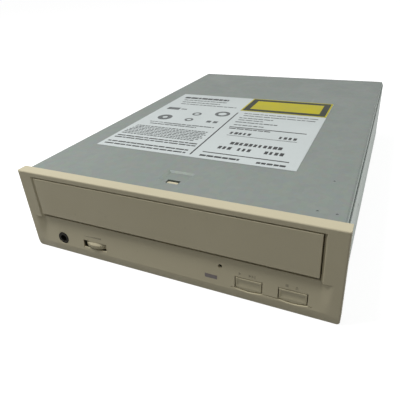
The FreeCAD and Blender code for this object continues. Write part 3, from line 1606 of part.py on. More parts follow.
def make_deck_plate():
    """Steel plate of the optical drive with its sled opening, damper holes and rod seats."""
    body = new_body("deck_plate_body")
    plate = (p.deck_plate_z, p.deck_plate_top)
    slab(body, "XY_Plane", plate, [rectangle(both(p.deck_half), (p.deck_front, p.deck_rear))])
    opening = rectangle((p.opening_left, p.opening_right), (p.opening_front, p.opening_rear))
    shaft_hole = s.motor_shaft_radius + s.motor_collar
    holes = [(x, y, s.damper_neck + s.damper_gap) for x, y in damper_places()]
    holes.append((0, p.spindle_y, shaft_hole))
    holes.append((p.sled_gear_x, p.sled_motor_y, shaft_hole))
    cavity(body, "XY_Plane", plate, [opening], holes)
    seat_width = 2 * (s.rod_radius + s.rod_seat)
    seats = []
    for x in (p.rod_left, p.rod_right):
        seats.append(rectangle(span_of(x, seat_width), (p.opening_front - s.rod_reach, p.opening_front)))
        seats.append(rectangle(span_of(x, seat_width), (p.opening_rear, p.opening_rear + s.rod_reach)))
    slab(body, "XY_Plane", (p.deck_plate_z, p.rod_z + s.rod_radius + s.rod_cover), seats)
    rods = [(x, p.rod_z, s.rod_radius) for x in (p.rod_left, p.rod_right)]
    cavity(body, "XZ_Plane", rod_span(), circles=rods)
    pin = [(p.sled_gear_x, p.sled_gear_y, s.motor_shaft_radius)]
    slab(body, "XY_Plane", (p.deck_plate_z, p.sled_gear_top + s.rail_gap), circles=pin)
    return add_node(body, "deck_plate")


def make_dampers():
    """Grooved rubber dampers and the shouldered screws through them."""
    low = p.deck_plate_z - s.damper_flange
    high = p.deck_plate_top + s.damper_flange
    dampers = []
    screws = []
    for x, y in damper_places():
        lower = drum("Z", (x, y), (low, p.deck_plate_z), s.damper_radius)
        neck = drum("Z", (x, y), (p.deck_plate_z, p.deck_plate_top), s.damper_neck)
        upper = drum("Z", (x, y), (p.deck_plate_top, high), s.damper_radius)
        bore = drum("Z", (x, y), (low, high), s.small_screw + s.damper_gap)
        dampers.append(cut(fuse([lower, neck, upper]), [bore]))
        shank = drum("Z", (x, y), (p.lift_bottom, high), s.small_screw)
        head = drum("Z", (x, y), (high, high + s.screw_head), s.damper_neck)
        screws.append(fuse([shank, head]))
    add_node(group(dampers), "rubber_dampers")
    add_node(group(screws), "damper_screws")


def make_spindle_motor():
    """Flat motor under the deck plate with its shaft up through it."""
    centre = (0, p.spindle_y)
    can_heights = (p.deck_plate_z - s.spindle_motor_length, p.deck_plate_z)
    can = drum("Z", centre, can_heights, s.spindle_motor_radius)
    shaft = drum("Z", centre, (p.deck_plate_z - s.joining_depth, p.disc_level), s.motor_shaft_radius)
    return add_node(fuse([can, shaft]), "spindle_motor")


def make_turntable():
    """Turntable with its centring cone, and the rubber pad on it."""
    bore = (s.motor_shaft_radius + s.running_gap).number
    low = (p.deck_plate_top + s.turntable_gap).number
    top = (p.disc_level - s.pad_thick).number
    plate = top - s.turntable_plate.number
    cone = s.cone_radius.number
    tip = top + s.cone_rise.number
    hub = s.turntable_hub.number
    rim = s.turntable_radius.number
    shaft_end = (p.disc_level + s.shaft_recess).number
    shape = turned([
        (bore, low),
        (hub, low),
        (hub, plate),
        (rim, plate),
        (rim, top),
        (cone, top),
        (cone, tip - s.cone_slope_height.number),
        (cone - s.cone_slope_width.number, tip),
        (0, tip),
        (0, shaft_end),
        (bore, shaft_end),
    ])
    feature_at(shape, 0, p.spindle_y, "turntable")
    pad = tube(s.turntable_radius.number, s.pad_inner.number, top, p.disc_level.number)
    feature_at(pad, 0, p.spindle_y, "turntable_pad")


def make_clamper():
    """Clamper hung in the bridge's hole, with its magnet."""
    low = p.clamper_level.number
    plate = low + s.clamper_plate.number
    lip = (p.chassis_top + s.bridge_thick + s.rail_gap).number
    top = lip + s.clamper_cap.number
    recess = low + s.clamper_recess_depth.number
    seat = top - s.magnet_thick.number - s.magnet_sink.number
    recess_radius = s.clamper_recess.number
    rim = s.clamper_radius.number
    hub = s.clamper_hub.number
    pocket = s.magnet_radius.number
    shape = turned([
        (0, recess),
        (recess_radius, recess),
        (recess_radius, low),
        (rim, low),
        (rim, plate),
        (hub, plate),
        (hub, lip),
        (rim, lip),
        (rim, top),
        (pocket, top),
        (pocket, seat),
        (0, seat),
    ])
    feature_at(shape, 0, p.spindle_y, "clamper")
    magnet = Part.makeCylinder(s.magnet_radius.number, s.magnet_thick.number, FreeCAD.Vector(0, 0, seat))
    feature_at(magnet, 0, p.spindle_y, "clamp_magnet")


def make_clamp_bridge():
    """Steel bridge across the chassis with the clamper's hole, and its four screws."""
    body = new_body("clamp_bridge_body")
    level = (p.chassis_top, p.chassis_top + s.bridge_thick)
    reach = span_of(p.spindle_y, 2 * s.bridge_reach)
    slab(body, "XY_Plane", level, [rectangle(both(p.boss_x + s.boss_radius), reach)])
    places = [(x, y) for x in both(p.boss_x) for y in bridge_screw_rows()]
    holes = [(x, y, s.small_screw) for x, y in places]
    holes.append((0, p.spindle_y, s.bridge_hole_radius))
    cavity(body, "XY_Plane", level, circles=holes)
    flange = (p.chassis_top, level[1] + s.bridge_flange)
    inner = both(p.chassis_inside - s.bridge_flange_side)
    front_flange = rectangle(inner, (reach[0], reach[0] + s.bridge_thick))
    rear_flange = rectangle(inner, (reach[1] - s.bridge_thick, reach[1]))
    slab(body, "XY_Plane", flange, [front_flange, rear_flange])
    add_node(body, "clamp_bridge")
    screws = []
    for x, y in places:
        shank = drum("Z", (x, y), (p.chassis_top - s.boss_depth + s.screw_tip, level[1]), s.small_screw)
        head = drum("Z", (x, y), (level[1], level[1] + s.screw_head), 2 * s.small_screw)
        screws.append(fuse([shank, head]))
    add_node(group(screws), "bridge_screws")


def make_guide_rods():
    """The two rods that the pickup sled runs on."""
    rods = [drum("Y", (x, p.rod_z), rod_span(), s.rod_radius) for x in (p.rod_left, p.rod_right)]
    return add_node(group(rods), "guide_rods")


def make_sled_drive():
    """Sled motor under the deck plate, its pinion and the compound sled gear."""
    centre = (p.sled_gear_x, p.sled_motor_y)
    can = drum("Z", centre, (p.board_top + s.sled_motor_rise, p.deck_plate_z), s.sled_motor_radius)
    shaft_heights = (p.deck_plate_z - s.joining_depth, p.sled_gear_step + s.level_gap)
    shaft = drum("Z", centre, shaft_heights, s.motor_shaft_radius)
    add_node(fuse([can, shaft]), "sled_motor")
    hole = Part.makeCylinder((s.motor_shaft_radius + s.running_gap).number, p.body_top.number)
    low = p.sled_gear_z.number
    step = p.sled_gear_step.number
    backlash = s.sled_backlash.number
    module = s.sled_module.number
    pinion_teeth = s.sled_pinion_teeth.number
    large_teeth = s.sled_teeth.number
    small_teeth = s.small_teeth.number
    pinion = gear_shape(module, pinion_teeth, low, step, backlash, gap_phase(pinion_teeth, 0.75))
    feature_at(pinion.cut(hole), p.sled_gear_x, p.sled_motor_y, "sled_pinion")
    large = gear_shape(module, large_teeth, low, step, backlash, tooth_phase(large_teeth, 0.25))
    small = gear_shape(
        s.small_module.number,
        small_teeth,
        step,
        p.sled_gear_top.number,
        backlash,
        tooth_phase(small_teeth, 0.5),
    )
    feature_at(large.fuse([small]).cut(hole), p.sled_gear_x, p.sled_gear_y, "sled_gear")


def lens_well():
    """Outline of the well round the lens holder."""
    across = both(s.holder_width / 2 + s.holder_gap)
    return (across, span_of(p.lens_y, s.holder_depth + 2 * s.holder_gap))


def make_pickup_sled():
    """Die-cast sled that runs on the rods, open round the lens holder."""
    length = (p.sled_front, p.sled_rear)
    box = block((p.sled_left, p.sled_right), length, (p.sled_low, p.sled_high))
    well_x, well_y = lens_well()
    tools = [block(well_x, well_y, (p.holder_z - s.holder_well, p.sled_high))]
    for x in (p.rod_left, p.rod_right):
        tools.append(drum("Y", (x, p.rod_z), length, s.rod_radius + s.running_gap))
    return add_node(cut(box, tools), "pickup_sled")


def make_sled_rack():
    """Rack that the sled gear drives, on an arm at the sled's right side."""
    rack = doc.addObject("Part::Feature", "sled_rack_teeth")
    shape = rack_shape(
        s.small_module.number,
        -(p.sled_travel + s.sled_rack_spare).number,
        s.sled_rack_spare.number,
        s.sled_rack_height.number,
        s.rack_back.number,
        s.sled_backlash.number,
    )
    rack.Shape = shape.mirror(FreeCAD.Vector(), FreeCAD.Vector(1, 0, 0))
    place(rack, p.sled_rack_x, p.sled_gear_y, p.sled_rack_z)
    arm = block(
        (p.sled_right, p.sled_rack_x - s.rack_back + s.rail_gap),
        (p.sled_front + s.sled_arm_inset, p.sled_rear - s.sled_arm_inset),
        (p.sled_rack_z, p.sled_rack_z + s.sled_rack_height),
    )
    return add_node(fuse([rack, arm]), "sled_rack")


def make_pickup_cover():
    """Thin steel cover on the sled with a window round the lens holder."""
    body = new_body("pickup_cover_body")
    level = (p.sled_high, p.sled_high + s.cover_thick)
    across = (p.sled_left + s.cover_side, p.sled_right - s.cover_side)
    along = (p.sled_front + s.cover_end, p.sled_rear - s.cover_end)
    slab(body, "XY_Plane", level, [rectangle(across, along)])
    well_x, well_y = lens_well()
    cavity(body, "XY_Plane", level, [rectangle(well_x, well_y)])
    return add_node(body, "pickup_cover")


def make_lens():
    """Lens holder in the sled's well, hung a little clear of it, and the lens in it."""
    centre = (0, p.lens_y)
    top = p.holder_top
    frame = block(both(s.holder_width / 2), span_of(p.lens_y, s.holder_depth), (p.holder_z, top))
    seat = drum("Z", centre, (top - s.lens_seat, top), s.lens_radius)
    add_node(cut(frame, [seat]), "lens_holder")
    rim = p.lens_top - s.lens_dome
    disc = drum("Z", centre, (top - s.lens_seat, rim), s.lens_radius)
    dome = taper(centre, (rim, p.lens_top), s.lens_radius, s.lens_radius * s.lens_dome_share)
    add_node(fuse([disc, dome]), "objective_lens")


def make_front_board():
    """Board behind the bezel's foot."""
    board = block(
        both(p.front_board_half),
        (p.chassis_front, p.front_board_rear),
        (s.front_board_z, p.front_board_top),
    )
    return add_node(board, "front_board")


def make_headphone_jack():
    """Jack body on the front board with its nose through the bezel."""
    nose_front = p.front_y + s.jack_set
    rear = p.jack_front + s.jack_depth
    centre = (p.jack_x, s.panel_z)
    body = block(span_of(p.jack_x, s.jack_width), (p.jack_front, rear), span_of(s.panel_z, s.jack_height))
    nose = drum("Y", centre, (nose_front, p.jack_front + s.joining_depth), s.jack_nose_radius)
    bore = drum("Y", centre, (nose_front, nose_front + s.jack_bore_length), s.jack_bore_radius)
    return add_node(cut(fuse([body, nose]), [bore]), "headphone_jack")


def wheel_y():
    """Row of the volume wheel's axis."""
    return p.front_y - s.front_reach + s.wheel_radius


def make_volume_control():
    """Volume wheel with a knurled rim on its control, which stands on the front board."""
    low = s.panel_z - s.wheel_thick / 2
    base_top = low - s.wheel_gap
    base = drum("Z", (p.wheel_x, wheel_y()), (p.front_board_top, base_top), s.pot_radius)
    shaft = drum("Z", (p.wheel_x, wheel_y()), (p.front_board_top, low + s.wheel_thick), s.pot_shaft_radius)
    add_node(fuse([base, shaft]), "volume_control")
    disc = Part.makeCylinder(s.wheel_radius.number, s.wheel_thick.number, FreeCAD.Vector(0, 0, low.number))
    rim_edges = [edge for edge in disc.Edges if len(edge.Vertexes) == 1]
    disc = disc.makeChamfer(s.wheel_chamfer.number, rim_edges)
    groove_length = (s.wheel_thick - 2 * s.knurl_inset).number
    groove_low = (low + s.knurl_inset).number
    count = int(s.knurl_count.number)
    grooves = []
    for number in range(count):
        spot = polar(s.wheel_radius.number, 2 * math.pi * number / count, groove_low)
        grooves.append(Part.makeCylinder(s.knurl_radius.number, groove_length, spot))
    disc = disc.cut(grooves)
    bore = Part.makeCylinder((s.pot_shaft_radius + s.running_gap).number, p.body_top.number)
    feature_at(disc.cut(bore), p.wheel_x, wheel_y(), "volume_wheel")


def make_switches():
    """Two push switches, the lamp behind its window, and the window."""
    switches = []
    front = p.plunger_front + s.plunger_length
    for x in (p.play_x, p.eject_x):
        case = block(
            span_of(x, s.switch_width),
            (front, front + s.switch_depth),
            (p.front_board_top, p.front_board_top + s.switch_height),
        )
        plunger = drum("Y", (x, s.panel_z), (p.plunger_front, front + s.joining_depth), s.plunger_radius)
        switches.append(fuse([case, plunger]))
    add_node(group(switches), "panel_switches")
    window_depth = (p.front_y + s.lamp_sink, p.body_front)
    window = block(span_of(p.lamp_x, s.lamp_width), window_depth, span_of(s.panel_z, s.lamp_height))
    add_node(window, "lamp_window")
    start = p.body_front + s.rail_gap
    end = start + s.lamp_length
    lamp = drum("Y", (p.lamp_x, s.panel_z), (start, end), s.lamp_radius)
    leg_depth = (end - s.lamp_radius, end)
    leg = block(span_of(p.lamp_x, s.lamp_radius * 2), leg_depth, (p.front_board_top, s.panel_z))
    add_node(fuse([lamp, leg]), "lamp")


def make_button(label, centre):
    """Push button with a flange behind the bezel and a stem towards its switch."""
    body = new_body(label + "_body")
    face = p.front_y + s.button_set
    flange = p.bezel_inside + s.rail_gap
    slab(body, "XZ_Plane", (face, flange + s.button_plate), [button_outline(centre, 0)], arcs=button_arc(0))

    def face_edge(start, end):
        """The edges round the face."""
        return near(start.y, face.number) and near(end.y, face.number)

    round_edges(body, s.button_round, face_edge)
    dish = span_of((s.button_low + s.button_top) / 2, s.button_top - s.button_low - 2 * s.dish_margin)
    half = (dish[1] - dish[0]) / 2
    dish_radius = (half * half + s.dish_sink * s.dish_sink) / (2 * s.dish_sink)
    across = span_of(centre, s.button_width - 2 * s.dish_margin)
    cavity(body, "YZ_Plane", across, [[(face, dish[0]), (face, dish[1])]], arcs={0: (dish_radius, 1)})
    wide = button_outline(centre, s.button_flange)
    slab(body, "XZ_Plane", (flange, flange + s.button_plate), [wide])
    stem_end = p.plunger_front - s.button_travel - s.stem_gap
    stem = rectangle(span_of(centre, s.stem_width), span_of(s.panel_z, s.stem_height))
    slab(body, "XZ_Plane", (flange, stem_end), [stem])
    return add_node(body, label)


def make_main_board():
    """Main board with a wide rear part and room for the chassis posts."""
    body = new_body("main_board_body")
    rear = p.body_rear - s.board_setback
    narrow = p.board_narrow
    wide = p.board_wide
    outline = [
        (-narrow, p.board_front),
        (narrow, p.board_front),
        (narrow, p.board_step),
        (wide, p.board_step),
        (wide, rear),
        (-wide, rear),
        (-wide, p.board_step),
        (-narrow, p.board_step),
    ]
    slab(body, "XY_Plane", (s.main_board_z, p.board_top), [outline])
    holes = [(x, y, s.mount_radius) for x, y in main_board_posts()]
    cavity(body, "XY_Plane", (s.main_board_z, p.board_top), circles=holes)
    add_node(body, "main_board")
    screws = []
    for x, y in main_board_posts():
        shank = drum("Z", (x, y), (s.main_board_z, p.board_top), s.mount_radius)
        head = drum("Z", (x, y), (p.board_top, p.board_top + s.screw_head), s.collar_radius)
        screws.append(fuse([shank, head]))
    return add_node(group(screws), "board_screws")


def board_chip(x, y, width, depth, height):
    """One chip on the main board."""
    across = span_of(as_size(x), as_size(width))
    return block(across, span_of(y, as_size(depth)), (p.board_top, p.board_top + height))


def make_board_parts():
    """Chips, capacitors and the crystal on the main board."""
    chips = []
    for x, behind, width, depth, height in FRONT_CHIPS:
        chips.append(board_chip(x, p.board_front + behind, width, depth, height))
    for x, ahead, width, depth, height in REAR_CHIPS:
        chips.append(board_chip(x, p.body_rear - ahead, width, depth, height))
    add_node(group(chips), "board_chips")
    cans = []
    for side, inset, ahead, radius, height in CAPACITORS:
        centre = (side * (p.board_wide - inset), p.body_rear - ahead)
        cans.append(drum("Z", centre, (p.board_top, p.board_top + height), as_size(radius)))
    add_node(group(cans), "board_capacitors")
    low_x, high_x, front, rear, height = CRYSTAL
    across = (as_size(low_x), as_size(high_x))
    crystal = block(across, (p.body_rear - front, p.body_rear - rear), (p.board_top, p.board_top + height))
    add_node(crystal, "clock_crystal")


def shroud(label, x, width, height, depth):
    """A connector shroud on the main board, open to the rear."""
    rear = p.connector_rear
    low = p.board_top
    outer = block(span_of(x, width), (rear - depth, rear), (low, low + height))
    inner = block(
        span_of(x, width - 2 * s.shroud_wall),
        (rear - depth + s.shroud_floor, rear),
        (low + s.shroud_wall, low + height - s.shroud_wall),
    )
    return add_node(cut(outer, [inner]), label)


def square_pin(x, depth, z):
    """A square contact pin along Y."""
    return block(span_of(x, s.pin_width), depth, span_of(z, s.pin_width))


def pin_shifts(count):
    """Distances of evenly spaced pins from the middle of their row, as shares of the spacing."""
    return [number - (count - 1) / 2 for number in range(int(count))]


def make_ide_connector():
    """Two-row socket for a ribbon cable, with its pins."""
    shroud("ide_connector", s.ide_x, s.ide_width, s.ide_height, s.ide_depth)
    depth = (p.connector_rear - s.ide_depth + s.shroud_floor, p.connector_rear - s.pin_inset)
    middle = p.board_top + s.ide_height / 2
    pins = []
    for column in pin_shifts(s.ide_columns.number):
        for row in pin_shifts(2):
            pins.append(square_pin(s.ide_x + s.pin_pitch * column, depth, middle + s.pin_pitch * row))
    return add_node(group(pins), "ide_pins")


def make_power_connector():
    """Four-way power socket with its round pins."""
    shroud("power_connector", p.power_x, s.power_width, s.power_height, s.power_depth)
    depth = (p.connector_rear - s.power_depth + s.shroud_floor, p.connector_rear - s.power_pin_inset)
    pins = []
    for column in pin_shifts(4):
        spot = (p.power_x + s.power_pitch * column, p.board_top + s.power_height / 2)
        pins.append(drum("Y", spot, depth, s.power_pin_radius))
    return add_node(group(pins), "power_pins")


def make_audio_connector():
    """Four-way audio socket with its pins."""
    shroud("audio_connector", p.audio_x, s.audio_width, s.audio_height, s.audio_depth)
    depth = (p.connector_rear - s.audio_depth + s.shroud_floor, p.connector_rear - s.pin_inset)
    middle = p.board_top + s.audio_height / 2
    pins = [square_pin(p.audio_x + s.pin_pitch * column, depth, middle) for column in pin_shifts(4)]
    return add_node(group(pins), "audio_pins")


def make_jumpers():
    """Jumper header with its pairs of pins, and the cap on its last pair."""
    rear = p.connector_rear - s.rail_gap
    low = p.board_top
    base_rear = rear - s.jumper_base_inset
    base_depth = (base_rear - s.jumper_base_depth, base_rear)
    pieces = [block(span_of(p.jumper_x, jumper_width()), base_depth, (low, low + jumper_height()))]
    pin_depth = (base_depth[0] - s.jumper_tail, rear - s.jumper_pin_inset)
    rows = [low + s.pin_pitch * share for share in (0.5, 1.5)]
    columns = [p.jumper_x + s.pin_pitch * shift for shift in pin_shifts(s.jumper_columns.number)]
    for x in columns:
        for z in rows:
            pieces.append(square_pin(x, pin_depth, z))
    add_node(fuse(pieces), "jumper_block")
    last = columns[-1]
    gap = s.jumper_cap_gap
    cap = block(
        span_of(last, s.pin_pitch - 2 * gap),
        (rear - s.jumper_cap_length, rear),
        (low + gap, low + jumper_height() - gap),
    )
    slots = []
    for z in rows:
        slot_depth = (rear - s.jumper_cap_length, rear - s.jumper_cap_end)
        slots.append(block(span_of(last, s.pin_width + gap), slot_depth, span_of(z, s.pin_width + gap)))
    add_node(cut(cap, slots), "jumper_cap")


def make_front_ribbon():
    """Flat lead under the two boards that joins them."""
    right = p.motor_x - s.load_motor_radius - s.ribbon_gap
    across = (right - s.ribbon_width, right)
    start = p.front_board_rear - s.ribbon_front_set
    end = p.board_front + s.ribbon_rear_set
    low = p.floor_top + s.rail_gap
    strip = block(across, (start, end), (low, low + s.ribbon_thick))
    front = block(across, (start, start + s.ribbon_leg), (low, s.front_board_z))
    rear = block(across, (end - s.ribbon_leg, end), (low, s.main_board_z))
    return add_node(fuse([strip, front, rear]), "front_ribbon")


def make_tray_switch():
    """Leaf switch on the chassis floor that the tray's end position works."""
    low = s.chassis_floor_z + s.chassis_floor
    top = low + s.tray_switch_height
    left = s.tray_switch_side - p.chassis_inside
    rear = p.chassis_end - s.tray_switch_set
    case = block((left, left + s.tray_switch_width), (rear - s.tray_switch_depth, rear), (low, top))
    lever = block(
        span_of(left + s.tray_switch_width / 2, s.tray_lever_width),
        (rear - s.tray_switch_depth + s.tray_lever_inset, rear - s.tray_lever_inset),
        (top, top + s.tray_lever_height),
    )
    return add_node(fuse([case, lever]), "tray_switch")


def make_labels():
    """White rating label on the cover and the smaller label on its rear corner."""
    start = p.body_front + s.label_start
    label = block(
        (p.label_left, p.label_left + s.label_width),
        (start, start + s.label_depth),
        (p.body_top, p.body_top + s.label_thick),
    )
    add_node(label, "rating_label")
    rear = start + s.label_depth - s.notice_end
    right = p.label_left + s.label_width - s.notice_side
    notice = block(
        (right - s.notice_width, right),
        (rear - s.notice_depth, rear),
        (p.body_top + s.label_thick, p.body_top + 2 * s.label_thick),
    )
    add_node(notice, "notice_label")


def check_and_export():
    """Stop on a failed object or shape, then write each sub-part to its own file."""
    doc.recompute()
    failed = [item.Name for item in doc.Objects if "Invalid" in item.State or "Error" in item.State]
    if failed:
        raise RuntimeError("failed objects: " + ", ".join(failed))
    for node in nodes:
        if node.Shape.isNull() or not node.Shape.isValid():
            raise RuntimeError("bad shape: " + node.Label)
    os.makedirs("parts", exist_ok=True)
    for node in nodes:
        node.Shape.exportStep("parts/" + node.Label + ".step")
        print(node.Label, len(node.Shape.Solids), round(node.Shape.Volume, 1))
    print(len(nodes), "sub-parts")


make_base_pan()
make_top_cover()
make_front_bezel()
make_case_screws()
make_loader_chassis()
make_clamp_bridge()
make_tray()
make_tray_door()
make_loading_gears()
make_loading_motor()
make_loading_belt()
make_cam_slider()
make_lift_frame()
make_deck_plate()
make_dampers()
make_spindle_motor()
make_turntable()
make_clamper()
make_guide_rods()
make_sled_drive()
make_pickup_sled()
make_sled_rack()
make_pickup_cover()
make_lens()
make_front_board()
make_headphone_jack()
make_volume_control()
make_switches()
make_button("play_button", p.play_x)
make_button("eject_button", p.eject_x)
make_main_board()
make_board_parts()
make_ide_connector()
make_power_connector()
make_audio_connector()
make_jumpers()
make_front_ribbon()
make_tray_switch()
make_labels()
check_and_export()
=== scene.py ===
import json
import math
import random

import bmesh
import bpy
from mathutils import Matrix, Vector
from mathutils.bvhtree import BVHTree

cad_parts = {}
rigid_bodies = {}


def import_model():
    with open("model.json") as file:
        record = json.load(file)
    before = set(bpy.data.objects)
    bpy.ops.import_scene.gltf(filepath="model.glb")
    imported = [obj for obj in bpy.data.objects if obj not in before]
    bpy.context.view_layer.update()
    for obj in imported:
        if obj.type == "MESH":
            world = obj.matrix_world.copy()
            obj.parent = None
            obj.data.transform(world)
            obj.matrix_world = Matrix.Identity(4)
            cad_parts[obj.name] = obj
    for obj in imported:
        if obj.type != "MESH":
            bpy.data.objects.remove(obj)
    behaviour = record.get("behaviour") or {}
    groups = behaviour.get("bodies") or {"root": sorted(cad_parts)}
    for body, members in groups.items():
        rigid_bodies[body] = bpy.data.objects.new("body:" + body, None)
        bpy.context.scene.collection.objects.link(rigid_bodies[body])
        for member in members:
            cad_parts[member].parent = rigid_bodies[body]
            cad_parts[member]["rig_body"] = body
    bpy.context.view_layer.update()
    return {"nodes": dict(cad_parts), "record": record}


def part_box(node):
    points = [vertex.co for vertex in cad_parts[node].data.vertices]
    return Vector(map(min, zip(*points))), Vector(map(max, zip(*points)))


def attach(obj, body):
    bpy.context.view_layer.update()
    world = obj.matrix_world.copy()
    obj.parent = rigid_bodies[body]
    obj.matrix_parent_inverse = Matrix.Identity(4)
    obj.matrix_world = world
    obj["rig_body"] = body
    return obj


MM = 0.001

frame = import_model()
# Where the bezel's face lies, in millimetres.
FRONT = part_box("front_bezel")[0].y / MM


def colour(red, green, blue):
    """A colour given as 0 to 255 screen values, in the linear values that shaders take."""
    linear = []
    for part in (red, green, blue):
        share = part / 255
        linear.append(share / 12.92 if share <= 0.04045 else ((share + 0.055) / 1.055) ** 2.4)
    return (*linear, 1.0)


def tinted(base, share):
    """The same colour, lighter above 1 and darker below 1."""
    return tuple(min(1.0, part * share) for part in base[:3]) + (1.0,)


class Recipe:
    """A material under construction, with short calls for the nodes that it uses."""

    def __init__(self, name):
        self.material = bpy.data.materials.new(name)
        self.material.use_nodes = True
        self.tree = self.material.node_tree
        self.shader = self.tree.nodes["Principled BSDF"]
        places = self.tree.nodes.new("ShaderNodeTexCoord")
        self.coordinates = places.outputs["Object"]
        self.normals = places.outputs["Normal"]

    def put(self, target, value):
        """Link a socket to the target, or write a plain value into it."""
        if isinstance(value, bpy.types.NodeSocket):
            self.tree.links.new(value, target)
        else:
            target.default_value = value

    def set(self, **inputs):
        """Give the shader's inputs, named with _ for a space."""
        for name, value in inputs.items():
            self.put(self.shader.inputs[name.replace("_", " ")], value)

    def stretched(self, x, y, z):
        """The object's coordinates, scaled along each axis."""
        node = self.tree.nodes.new("ShaderNodeMapping")
        self.put(node.inputs["Vector"], self.coordinates)
        node.inputs["Scale"].default_value = (x, y, z)
        return node.outputs["Vector"]

    def noise(self, scale, detail=3.0, roughness=0.5, vector=None, distortion=0.0):
        """Cloudy noise, from 0 to 1."""
        node = self.tree.nodes.new("ShaderNodeTexNoise")
        self.put(node.inputs["Vector"], vector or self.coordinates)
        node.inputs["Scale"].default_value = scale
        node.inputs["Detail"].default_value = detail
        node.inputs["Roughness"].default_value = roughness
        node.inputs["Distortion"].default_value = distortion
        return node.outputs["Fac"]

    def cells(self, scale, feature="F1", output="Distance", vector=None):
        """A pattern of cells, read off at one of its outputs."""
        node = self.tree.nodes.new("ShaderNodeTexVoronoi")
        node.feature = feature
        self.put(node.inputs["Vector"], vector or self.coordinates)
        node.inputs["Scale"].default_value = scale
        return node.outputs[output]

    def ramp(self, factor, *stops):
        """A colour ramp from pairs of a place and a colour or grey value."""
        node = self.tree.nodes.new("ShaderNodeValToRGB")
        self.put(node.inputs["Fac"], factor)
        elements = node.color_ramp.elements
        while len(elements) < len(stops):
            elements.new(0.5)
        for element, (place, value) in zip(elements, stops):
            element.position = place
            element.color = value if isinstance(value, tuple) else (value, value, value, 1.0)
        return node.outputs["Color"]

    def sum(self, kind, first, second=0.0):
        """One step of arithmetic, named as the math node names it."""
        node = self.tree.nodes.new("ShaderNodeMath")
        node.operation = kind
        for target, value in zip(node.inputs, (first, second)):
            self.put(target, value)
        return node.outputs[0]

    def span(self, value, low, high, new_low, new_high):
        """The value moved from one range to another, and held at its ends."""
        node = self.tree.nodes.new("ShaderNodeMapRange")
        for target, number in zip(node.inputs, (value, low, high, new_low, new_high)):
            self.put(target, number)
        return node.outputs[0]

    def mix(self, factor, first, second, kind="MIX"):
        """Two colours mixed, the second one by the factor."""
        node = self.tree.nodes.new("ShaderNodeMix")
        node.data_type = "RGBA"
        node.blend_type = kind
        self.put(node.inputs[0], factor)
        self.put(node.inputs[6], first)
        self.put(node.inputs[7], second)
        return node.outputs[2]

    def axis(self, name):
        """One of the object's coordinates, in metres."""
        node = self.tree.nodes.new("ShaderNodeSeparateXYZ")
        self.put(node.inputs[0], self.coordinates)
        return node.outputs[name]

    def facing(self, name):
        """One part of the surface's direction."""
        node = self.tree.nodes.new("ShaderNodeSeparateXYZ")
        self.put(node.inputs[0], self.normals)
        return node.outputs[name]

    def bump(self, *layers):
        """Bump from pairs of a height and its depth in millimetres."""
        normal = None
        for height, depth in layers:
            node = self.tree.nodes.new("ShaderNodeBump")
            node.inputs["Strength"].default_value = 1.0
            node.inputs["Distance"].default_value = depth * MM
            self.put(node.inputs["Height"], height)
            if normal is not None:
                self.put(node.inputs["Normal"], normal)
            normal = node.outputs["Normal"]
        self.put(self.shader.inputs["Normal"], normal)

    def front_to_rear_tone(self, tone, front, rear):
        """The tone times the share front at the front of the drive, and rear at its back."""
        back = self.span(self.axis("Y"), FRONT * MM, -FRONT * MM, 0.0, 1.0)
        shades = [(share, share, share, 1.0) for share in (front, rear)]
        return self.mix(1.0, tone, self.mix(back, *shades), "MULTIPLY")

    def inside(self, x, y):
        """1 where the surface lies within the ranges x and y, in millimetres, and 0 elsewhere."""
        parts = []
        for name, (low, high) in (("X", x), ("Y", y)):
            place = self.axis(name)
            above = self.sum("GREATER_THAN", place, low * MM)
            below = self.sum("LESS_THAN", place, high * MM)
            parts.append(self.sum("MULTIPLY", above, below))
        return self.sum("MULTIPLY", parts[0], parts[1])


def moulded(name, base, roughness=0.5, grain=0.018, grain_scale=2600, mottle=0.03, specular=0.25):
    """Moulded plastic with a spark-eroded grain, slight mottling, faint scuffs and dust."""
    r = Recipe(name)
    clouds = r.ramp(r.noise(14, 4), (0.3, tinted(base, 1 - mottle)), (0.7, tinted(base, 1 + mottle)))
    fine = r.noise(grain_scale, 2)
    grained = r.mix(r.span(fine, 0.3, 0.7, 0.0, 0.10), clouds, tinted(base, 0.72))
    specks = r.ramp(r.noise(420, 2, 0.6), (0.70, 0.0), (0.76, 1.0))
    dusty = r.mix(r.sum("MULTIPLY", specks, 0.16), grained, tinted(base, 0.55))
    scuffs = r.ramp(r.noise(55, 6, 0.7, r.stretched(1, 0.25, 1)), (0.62, 0.0), (0.75, 1.0))
    worn = r.mix(r.sum("MULTIPLY", scuffs, 0.10), dusty, tinted(base, 1.25))
    r.set(Base_Color=worn, Specular_IOR_Level=specular)
    r.set(Roughness=r.span(r.noise(90, 4), 0.3, 0.7, roughness - 0.07, roughness + 0.07))
    r.bump((fine, grain), (r.noise(240, 2), 0.006))
    return r.material


